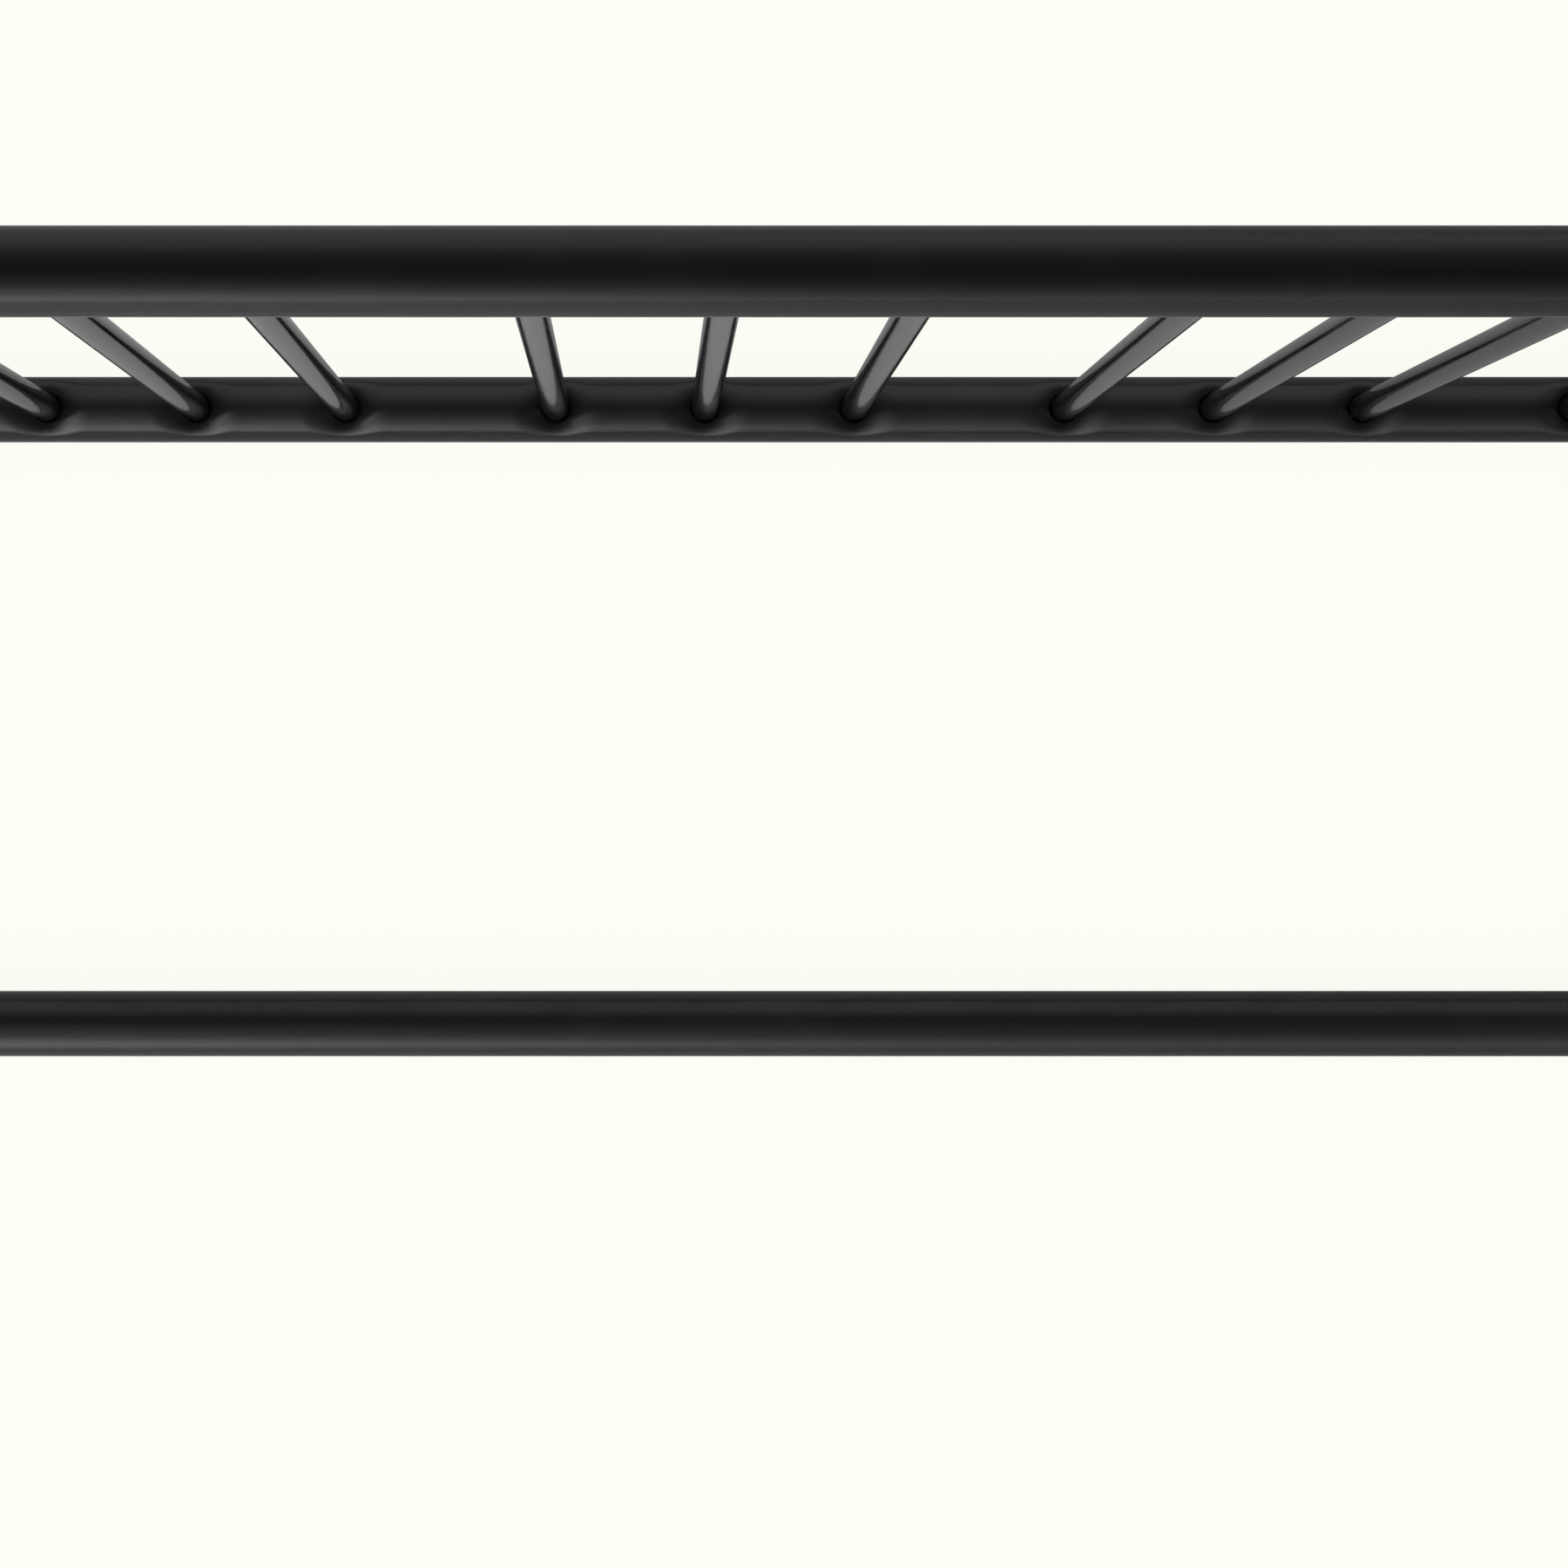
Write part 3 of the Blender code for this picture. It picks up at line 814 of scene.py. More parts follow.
@dataclass(frozen=True)
class PlainRail:
    """Floor rail without holes.

    Attributes:
        node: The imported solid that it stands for.
        line: The end frames' centre line.
        end: Which side of the grid it lies on.
        seed: Chooses the tube's unevenness.
        cope_length: Length of each end that is drawn in to fit round its frame.
        rows, columns: Rows along the rail, and columns round it.
    """

    node: str
    line: FrameLine
    end: End
    seed: int
    cope_length: float = 0.10
    rows: int = 160
    columns: int = 96

    def wall(self, radius: float) -> Array:
        """One wall: a straight tube along X whose ends are drawn in."""
        layout = self.line.layout
        x = np.linspace(-layout.frame_x, layout.frame_x, self.rows)[:, None]
        uneven = unevenness(x, turn_angles(self.columns), layout.stock.uneven, self.seed)
        centre = (0.0, self.end.value * layout.floor_rail_y, layout.floor_z)
        points = turned(centre, Axis.X, x, radius - uneven, self.columns)
        return self.line.coped(points, layout.frame_x - self.cope_length)

    def build(self) -> None:
        """Make the rail: out along its outer wall, and back along its bore."""
        stock = self.line.layout.stock
        walls = self.wall(stock.tube_radius), self.wall(stock.bore_radius)[::-1]
        skin = straight_skin(np.concatenate(walls), Axis.X, rows_meet=True)
        # The floor rails' coat is lightened by painted light.
        make_piece(f"finished_{self.node}", [skin], FLOOR_COAT_WITH_PAINTED_LIGHT, self.node)


@dataclass(frozen=True)
class Pipe:
    """Straight pipe with rounded cut ends.

    Attributes:
        node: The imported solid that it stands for.
        finish: What it is finished in.
        centre, axis: A place on its axis, and the axis.
        ends: Its two ends, along the axis.
        outer, bore: Its radii.
        edge: Rounding of its cut ends.
        seed, uneven: What chooses its unevenness, and the unevenness's depth.
        rows, columns: Rows along its outside, and columns round it.
    """

    node: str
    finish: Finish
    centre: Place
    axis: Axis
    ends: tuple[float, float]
    outer: float
    bore: float
    edge: float
    seed: int
    uneven: float
    rows: int = 110
    columns: int = 96

    def build(self) -> None:
        """Make the pipe: a profile up its outside and back down its bore, turned round."""
        start, end = self.ends
        outer, bore, edge = self.outer, self.bore, self.edge
        bevel = edge * (1 - math.cos(math.pi / 4))
        along = stacked(
            np.linspace(start + edge, end - edge, self.rows),
            (end - bevel, end, end, end - bevel, end - edge),
            (start + edge, start + bevel, start, start, start + bevel),
        )
        tip = (outer - bevel, outer - edge, bore + edge, bore + bevel, bore)
        radius = stacked(np.full(self.rows, outer), tip, tip[::-1])
        radius = radius - unevenness(along, turn_angles(self.columns), self.uneven, self.seed)
        points = turned(self.centre, self.axis, along, radius, self.columns)
        skin = straight_skin(points, self.axis, rows_meet=True)
        make_piece(f"finished_{self.node}", [skin], self.finish, self.node)


@dataclass(frozen=True)
class BarRow:
    """The upright bars that stand in the two punched rails.

    Attributes:
        layout: The shared places.
        rows, columns: Rows along a bar's outside, and columns round it.
        uneven: Depth of a bar's unevenness.
    """

    layout: Layout
    rows: int = 72
    columns: int = 64
    uneven: float = 0.00003

    def build(self) -> None:
        """Make each bar."""
        layout, stock = self.layout, self.layout.stock
        bore = stock.bar_radius - stock.bar_wall
        for number, x in enumerate(layout.bars_x, start=1):
            Pipe(
                f"bar_{number:02d}", BAR_COAT, (x, 0.0, 0.0), Axis.Z, layout.bars_z,
                stock.bar_radius, bore, stock.edge, number, self.uneven, self.rows, self.columns,
            ).build()


@dataclass(frozen=True)
class Weld:
    """Weld bead along a seam, rippled by the passes and softened by the coat over it.

    Attributes:
        half_width: From its middle to its edges.
        height: How far it stands out of the seam.
        ripple_pitch, ripple_depth: Its ripples.
        ripple_bow: How many pitches a ripple's middle runs ahead of its edges.
        blunt: Power that makes an open bead's ends blunt.
        columns: Columns round it.
    """

    half_width: float = 0.0036
    height: float = 0.0020
    ripple_pitch: float = 0.0019
    ripple_depth: float = 0.00016
    ripple_bow: float = 0.9
    blunt: int = 8
    columns: int = 20

    def skin(self, seam: Array, out: Array, closed: bool) -> Skin:
        """Surface of the bead.

        Its section at a point of the seam is an ellipse, as wide as the bead across the seam
        and as high as the bead in the outward direction. It shrinks by the ripple's depth
        with the sine of the distance over the pitch, run ahead at its crest. An open bead's
        sections shrink to a point at both ends.

        Args:
            seam: Points along the seam.
            out: Outward direction at each.
            closed: Whether the seam is a loop.

        Returns:
            The bead's skin.
        """
        ahead = np.roll(seam, -1, 0) - np.roll(seam, 1, 0) if closed else np.gradient(seam, axis=0)
        step = np.linalg.norm(ahead, axis=1, keepdims=True)
        across = np.cross(ahead / step, out)
        across /= np.linalg.norm(across, axis=1, keepdims=True)
        distance = np.cumsum(step)[:, None] / (2 if closed else 1)
        angle = turn_angles(self.columns)
        phase = distance / self.ripple_pitch - self.ripple_bow * np.cos(angle)
        size = 1 - self.ripple_depth / self.height * np.abs(np.sin(math.pi * phase))
        if not closed:
            share = np.linspace(-1, 1, len(seam))[:, None]
            size = size * np.sqrt(1 - share ** self.blunt)
        rise, width = self.height * size * np.cos(angle), self.half_width * size * np.sin(angle)
        points = seam[:, None] + rise[..., None] * out[:, None] + width[..., None] * across[:, None]
        coat = np.stack((np.broadcast_to(distance, rise.shape), width, rise), axis=-1)
        return Skin(points, coat, rows_meet=closed)


@dataclass(frozen=True)
class Arch:
    """Arch of an end frame: two leaning legs and a bend in one tube, coped to its base tube.

    Attributes:
        side: Which end of the rack it is at.
        line: The frame's centre line.
        leg_rows, bend_rows, columns: Rows along a leg and round the bend, and columns round.
        weld_points: Points along the weld round a foot.
        weld: The bead.
    """

    side: Side
    line: FrameLine
    leg_rows: int = 44
    bend_rows: int = 90
    columns: int = 96
    weld_points: int = 520
    weld: Weld = Weld()

    @property
    def name(self) -> str:
        """The arch's name."""
        return joined(self.side, "arch")

    @property
    def plane_x(self) -> float:
        """Place of the frame's plane."""
        return self.side.value * self.line.layout.frame_x

    def foot_rise(self, angle: Array, radius: float) -> Array:
        """From a foot's axis point to where the base tube cuts a line of the leg.

        The line of the wall at an angle is offset by the radius times its sine along X and by
        the radius times its cosine along the leg's normal. It ends where its height above the
        base tube's axis is the root of the base tube's radius squared less the offset squared.
        """
        stock, lean = self.line.layout.stock, self.line.lean
        base = stock.tube_radius + stock.gap
        top = np.sqrt(base ** 2 - (radius * np.sin(angle)) ** 2)
        return (top - radius * np.cos(angle) * math.sin(lean)) / math.cos(lean)

    def leg(self, angle: Array, radius: float, share: Array, end: End) -> Array:
        """Points of a leg's wall, at a share of the way from its foot to the bend."""
        line, lean = self.line, self.line.lean
        touch_y = line.bend_radius * math.cos(lean)
        touch_z = line.bend_z + line.bend_radius * math.sin(lean)
        length = math.hypot(line.foot_y - touch_y, touch_z - line.layout.floor_z)
        rise = self.foot_rise(angle, radius)
        rise = rise + (length - rise) * share
        inwards, out = rise * math.sin(lean), radius * np.cos(angle)
        y = line.foot_y - inwards + out * math.cos(lean)
        z = line.layout.floor_z + rise * math.cos(lean) + out * math.sin(lean)
        x = np.broadcast_to(self.plane_x + radius * np.sin(angle), y.shape)
        return np.stack((x, end.value * y, z), axis=-1)

    def bend(self, angle: Array, radius: float) -> Array:
        """Points of the bend's wall, from the front leg's end over to the rear leg's."""
        line, lean = self.line, self.line.lean
        turn = np.linspace(lean, math.pi - lean, self.bend_rows)[:, None]
        reach = line.bend_radius + radius * np.cos(angle)
        x = np.broadcast_to(self.plane_x + radius * np.sin(angle), (self.bend_rows, len(angle)))
        return np.stack((x, -reach * np.cos(turn), line.bend_z + reach * np.sin(turn)), axis=-1)

    def wall(self, radius: float) -> Array:
        """One wall, from the front foot over the bend to the rear foot."""
        angle = turn_angles(self.columns)
        share = np.linspace(0, 1, self.leg_rows)[:-1, None]
        front = self.leg(angle, radius, share, End.FRONT)
        rear = self.leg(angle, radius, share, End.REAR)[::-1]
        return np.concatenate((front, self.bend(angle, radius), rear))

    def seam(self, end: End) -> tuple[Array, Array]:
        """Seam round a foot, and its outward direction.

        The direction is half way between the normals of the leg and of the base tube.
        """
        line, lean = self.line, self.line.lean
        stock = line.layout.stock
        angle = turn_angles(self.weld_points)
        seam = self.leg(angle, stock.tube_radius, np.zeros((1, 1)), end)[0]
        leg_out = np.stack((
            np.sin(angle),
            end.value * np.cos(angle) * math.cos(lean),
            np.cos(angle) * math.sin(lean),
        ), axis=-1)
        base_out = (seam - (self.plane_x, 0, line.layout.floor_z)) * (1, 0, 1)
        base_out /= np.linalg.norm(base_out, axis=1, keepdims=True)
        out = leg_out + base_out
        return seam, out / np.linalg.norm(out, axis=1, keepdims=True)

    def build(self) -> None:
        """Make the arch and the welds round its feet."""
        stock = self.line.layout.stock
        outer, bore = self.wall(stock.tube_radius), self.wall(stock.bore_radius)[::-1]
        points = np.concatenate((outer, bore))
        steps = np.linalg.norm(np.diff(outer.mean(1), axis=0), axis=1)
        distance = np.concatenate(([0.0], np.cumsum(steps)))
        distance = np.concatenate((distance, distance[::-1]))[:, None]
        angle = turn_angles(self.columns)
        radius = np.repeat((stock.tube_radius, stock.bore_radius), len(outer))[:, None]
        coat = np.stack((
            np.broadcast_to(distance, points.shape[:2]),
            self.plane_x + radius * np.sin(angle),
            radius * np.cos(angle),
        ), axis=-1)
        skin = Skin(points, coat, rows_meet=True)
        make_piece(f"finished_{self.name}", [skin], POWDER_COAT, self.name)
        for end in End:
            bead = self.weld.skin(*self.seam(end), closed=True)
            make_piece(joined(self.name, end, "weld"), [bead], POWDER_COAT)


@dataclass(frozen=True)
class AnchorTab:
    """Floor anchor tab, welded to the outer side of a base tube.

    Its faces run in rings from the hole to the outline, each point of a ring on the line from
    the hole's centre to its point of the outline.

    Attributes:
        side, end: Where it is.
        layout: The shared places.
        inset: From the floor rail's axis to the tab's middle.
        half_width, length, thickness, corner: Its outline.
        hole_radius, hole_edge: The hole, and its centre's distance from the free end.
        edge, edge_steps: Rounding of its edges.
        side_points, corner_points, face_rows: Points of each side and corner of the outline,
            and rings between the two edges of a face.
        weld: The bead.
        weld_points: Points along it.
    """

    side: Side
    end: End
    layout: Layout
    inset: float = 0.123
    half_width: float = 0.0225
    length: float = 0.042
    thickness: float = 0.005
    corner: float = 0.010
    hole_radius: float = 0.0065
    hole_edge: float = 0.020
    edge: float = 0.0007
    edge_steps: int = 4
    side_points: int = 16
    corner_points: int = 14
    face_rows: int = 6
    weld: Weld = Weld(half_width=0.0030, height=0.0022)
    weld_points: int = 120

    @property
    def name(self) -> str:
        """The tab's name."""
        return joined(self.side, self.end, "anchor_tab")

    @property
    def middle_y(self) -> float:
        """Place of its middle line."""
        return self.end.value * (self.layout.floor_rail_y - self.inset)

    @property
    def inner_x(self) -> float:
        """Place of its inner edge, which clears the base tube's wall at its top."""
        stock = self.layout.stock
        drop = self.layout.floor_z - self.thickness
        return self.layout.frame_x + math.sqrt(stock.tube_radius ** 2 - drop ** 2) + stock.gap

    def outline(self) -> Array:
        """Outline from above: square at the tube, and rounded at the free end."""
        half, corner = self.half_width, self.corner
        far, side = self.length - corner, half - corner
        share = np.arange(self.side_points) / self.side_points
        turn = np.arange(self.corner_points) / self.corner_points * math.pi / 2
        out, up = corner * np.sin(turn), corner * (1 - np.cos(turn))
        flat = np.ones(self.side_points)
        x = (far * share, far + out, self.length * flat, self.length - up, far * (1 - share),
             0 * flat)
        y = (-half * flat, up - half, side * (2 * share - 1), side + out, half * flat,
             half * (1 - 2 * share))
        return np.stack((np.concatenate(x), np.concatenate(y)), axis=-1)

    def plate(self) -> Skin:
        """Up the outer edge, in to the hole, down through it, and back out underneath.

        Both edges are rounded by quarter circles.
        """
        hole = np.array((self.length - self.hole_edge, 0.0))
        spokes = self.outline() - hole
        reach = np.linalg.norm(spokes, axis=1)
        turn = arc(0, 90, self.edge_steps)
        inset = stacked(self.edge * (1 - np.sin(turn)), self.edge * (1 - np.cos(turn)))
        height = stacked(
            self.edge * (1 - np.cos(turn)), self.thickness - self.edge * (1 - np.sin(turn))
        )
        inner, outer = self.hole_radius + inset, reach - inset
        share = np.linspace(0, 1, self.face_rows + 2)[1:-1, None]
        face = outer[-1] + share * (inner[-1] - outer[-1])
        level = np.full((self.face_rows, 1), self.thickness)
        far = np.concatenate((
            outer, face, np.broadcast_to(inner[::-1], outer.shape), face[::-1]
        ))
        z = np.concatenate((height, level, height[::-1], 0 * level))
        spot = hole + far[..., None] * (spokes / reach[:, None])
        points = np.stack((
            self.side.value * (self.inner_x + spot[..., 0]),
            self.middle_y + spot[..., 1],
            np.broadcast_to(z, far.shape),
        ), axis=-1)
        return straight_skin(points, Axis.Y, rows_meet=True)

    def bead(self) -> Skin:
        """Weld between the tab's upper edge and the base tube."""
        y = np.linspace(-self.half_width, self.half_width, self.weld_points)
        x = np.full_like(y, self.side.value * self.inner_x)
        z = np.full_like(y, self.thickness - self.edge / 2)
        seam = np.stack((x, self.middle_y + y, z), axis=-1)
        slope = math.atan2(self.layout.floor_z - self.thickness, self.inner_x - self.layout.frame_x)
        lean = math.pi / 4 - slope / 2
        out = np.array((self.side.value * math.cos(lean), 0, math.sin(lean)))
        return self.weld.skin(seam, np.broadcast_to(out, seam.shape), closed=False)

    def build(self) -> None:
        """Make the tab and its weld."""
        make_piece(f"finished_{self.name}", [self.plate()], POWDER_COAT, self.name)
        make_piece(f"{self.name}_weld", [self.bead()], POWDER_COAT)


@dataclass(frozen=True)
class EndCap:
    """Moulded cup in the open end of a base tube, with a flange that covers the tube's edge.

    Attributes:
        side, end: Where it is.
        layout: The shared places.
        flange: How far it stands out of the tube.
        bevel_height, bevel_width, bevel_steps: Rounding of the flange.
        stem, wall: Length and wall of the cup in the tube.
        recess_radius, recess_depth, recess_steps: Panel sunk in its face.
        gate_radius, gate_height, gate_flare: Stub that is left where it was filled, and how
            much wider it is at its foot.
        columns: Columns round it.
    """

    side: Side
    end: End
    layout: Layout
    flange: float = 0.0035
    bevel_height: float = 0.0022
    bevel_width: float = 0.0030
    bevel_steps: int = 8
    stem: float = 0.018
    wall: float = 0.002
    recess_radius: float = 0.0118
    recess_depth: float = 0.0005
    recess_steps: int = 6
    gate_radius: float = 0.0012
    gate_height: float = 0.0003
    gate_flare: float = 1.2
    columns: int = 96

    def build(self) -> None:
        """Make the cap: its profile, from the cup's bottom out and over to the face's middle."""
        stock, gap = self.layout.stock, self.layout.stock.gap
        turn = arc(0, 90, self.bevel_steps)
        soft = arc(0, 180, self.recess_steps)
        fit, rim = stock.bore_radius - gap, stock.tube_radius
        sunk = self.flange - self.recess_depth
        half_drop = self.recess_depth / 2
        along = stacked(
            (gap, gap, -self.stem, -self.stem, gap, gap),
            self.flange - self.bevel_height * (1 - np.sin(turn)),
            self.flange - half_drop * (1 - np.cos(soft)),
            (sunk, sunk + self.gate_height, sunk + self.gate_height),
        )
        radius = stacked(
            (0, fit - self.wall, fit - self.wall, fit, fit, rim),
            rim - self.bevel_width * (1 - np.cos(turn)),
            self.recess_radius - self.recess_depth * soft / math.pi,
            (self.gate_flare * self.gate_radius, self.gate_radius, 0),
        )
        way = self.end.value
        centre = (
            self.side.value * self.layout.frame_x,
            way * self.layout.base_half,
            self.layout.floor_z,
        )
        points = turned(centre, Axis.Y, way * along, radius, self.columns)
        name = joined(self.side, self.end, "end_cap")
        make_piece(f"finished_{name}", [straight_skin(points, Axis.Y)], BLACK_PLASTIC, name)


@dataclass(frozen=True)
class BoltedJoint:
    """Button-head bolt, saddle washer and threaded plug that hold one end of a rail.

    Attributes:
        name: Name of the joint's solids, less their kinds.
        side: Which end of the rack it is at.
        line: The end frame's centre line.
        y, z: Place of the rail's axis.
        bolt_radius, head_radius, head_height, head_flat, bolt_point: The bolt.
        head_edge, dome_steps: Height of the straight rim under its head's dome, and the dome.
        socket_apothem, socket_depth, socket_edge, drill_depth: Its hexagon socket.
        plug_end: From the frame's plane to the plug's inner end.
        tip: How far the bolt comes out of the plug.
        washer_radius, washer_bore, washer_thickness, washer_edge: The washer.
        rim_steps, saddle_rows: Its edge and its underside.
        columns: Columns round the bolt and the washer.
    """

    name: str
    side: Side
    line: FrameLine
    y: float
    z: float
    bolt_radius: float = 0.0050
    head_radius: float = 0.00875
    head_height: float = 0.0055
    head_flat: float = 0.0045
    bolt_point: float = 0.001
    head_edge: float = 0.0006
    dome_steps: int = 12
    socket_apothem: float = 0.0030
    socket_depth: float = 0.0030
    socket_edge: float = 0.00025
    drill_depth: float = 0.0008
    plug_end: float = 0.03505
    tip: float = 0.003
    washer_radius: float = 0.011
    washer_bore: float = 0.0055
    washer_thickness: float = 0.003
    washer_edge: float = 0.0008
    rim_steps: int = 6
    saddle_rows: int = 8
    columns: int = 72

    @property
    def centre(self) -> Place:
        """Where the rail's axis meets the frame's plane."""
        return (self.side.value * self.line.layout.frame_x, self.y, self.z)

    def hexagon(self) -> Array:
        """Distance from the socket's axis to its wall at each column.

        It is the distance to a flat over the cosine of the angle from that flat's middle.
        """
        sixth = FULL_TURN / 6
        return self.socket_apothem / np.cos(turn_angles(self.columns) % sixth - sixth / 2)

    def bolt(self) -> Skin:
        """Shank, domed head and socket; the dome is a quarter of an ellipse."""
        stock = self.line.layout.stock
        seat = stock.tube_radius + self.washer_thickness + stock.gap
        tip = -(self.plug_end + self.tip)
        turn = arc(0, 90, self.dome_steps)
        top = seat + self.head_height
        floor = top - self.socket_depth
        rise = self.head_height - self.head_edge
        dome = self.head_radius - self.head_flat
        shank = self.bolt_radius
        along = stacked(
            (tip, tip, tip + self.bolt_point, seat, seat),
            seat + self.head_edge + rise * np.sin(turn),
            (top, top - self.socket_edge, floor, floor - self.drill_depth),
        )
        radius = stacked(
            (0, shank - self.bolt_point, shank, shank, self.head_radius),
            self.head_flat + dome * np.cos(turn),
        )
        hexagon = self.hexagon()
        radius = np.broadcast_to(radius, (len(radius), self.columns))
        socket = np.stack((hexagon + self.socket_edge, hexagon, hexagon, 0 * hexagon))
        radius = np.concatenate((radius, socket))
        points = turned(self.centre, Axis.X, self.side.value * along, radius, self.columns)
        return straight_skin(points, Axis.X)

    def washer(self) -> Skin:
        """Flat on top, rounded at its rim, and curved underneath to sit on the frame's tube."""
        stock = self.line.layout.stock
        seat = stock.tube_radius + self.washer_thickness
        turn = arc(0, 90, self.rim_steps)
        edge, half_edge = self.washer_edge, self.washer_edge / 2
        up = seat - edge * (1 - np.sin(turn))
        down = seat - half_edge * (1 - np.cos(turn))
        over = self.washer_radius - edge * (1 - np.cos(turn))
        under = np.linspace(self.washer_bore, self.washer_radius, self.saddle_rows)[:, None]
        radius = np.concatenate((
            stacked(over, self.washer_bore + half_edge * (1 - np.sin(turn))), under
        ))
        radius = np.broadcast_to(radius, (len(radius), self.columns))
        y, z = (
            middle + radius[-len(under):] * wave(turn_angles(self.columns))
            for middle, wave in ((self.y, np.cos), (self.z, np.sin))
        )
        saddle = self.line.side_reach(y, z, stock.tube_radius + stock.gap)
        level = np.broadcast_to(stacked(up, down), (len(up) + len(down), self.columns))
        along = np.concatenate((level, saddle))
        points = turned(self.centre, Axis.X, self.side.value * along, radius, self.columns)
        return straight_skin(points, Axis.X, rows_meet=True)

    def build(self, nodes: dict[str, bpy.types.Object]) -> None:
        """Make the bolt and the washer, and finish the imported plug."""
        bolt, washer = f"{self.name}_bolt", f"{self.name}_saddle_washer"
        make_piece(f"finished_{bolt}", [self.bolt()], BLACK_STEEL, bolt)
        make_piece(f"finished_{washer}", [self.washer()], BLACK_PLASTIC, washer)
        plug = nodes[f"{self.name}_threaded_plug"]
        for slot in plug.material_slots:
            slot.material = BRIGHT_ZINC.material()
        LOG.info("%s: finished in %s", plug.name, BRIGHT_ZINC.name)


@dataclass(frozen=True)
class EndFrame:
    """End frame: an arch on a base tube, with its caps, anchor tabs and bolted joints.

    Attributes:
        side: Which end of the rack it closes.
        line: Its centre line.
        seed: Chooses its base tube's unevenness.
    """

    side: Side
    line: FrameLine
    seed: int

    def build(self, nodes: dict[str, bpy.types.Object]) -> None:
        """Make the frame's pieces."""
        layout, stock = self.line.layout, self.line.layout.stock
        centre = (self.side.value * layout.frame_x, 0.0, layout.floor_z)
        Arch(self.side, self.line).build()
        Pipe(
            joined(self.side, "base_tube"), POWDER_COAT, centre, Axis.Y,
            (-layout.base_half, layout.base_half), stock.tube_radius, stock.bore_radius,
            stock.edge, self.seed, stock.uneven,
        ).build()
        for end in End:
            AnchorTab(self.side, end, layout).build()
            EndCap(self.side, end, layout).build()
        joints = {
            "top": (0.0, layout.top_z),
            "grid": (0.0, layout.floor_z),
            "front": (-layout.floor_rail_y, layout.floor_z),
            "rear": (layout.floor_rail_y, layout.floor_z),
        }
        for name, (y, z) in joints.items():
            BoltedJoint(joined(self.side, name), self.side, self.line, y, z).build(nodes)


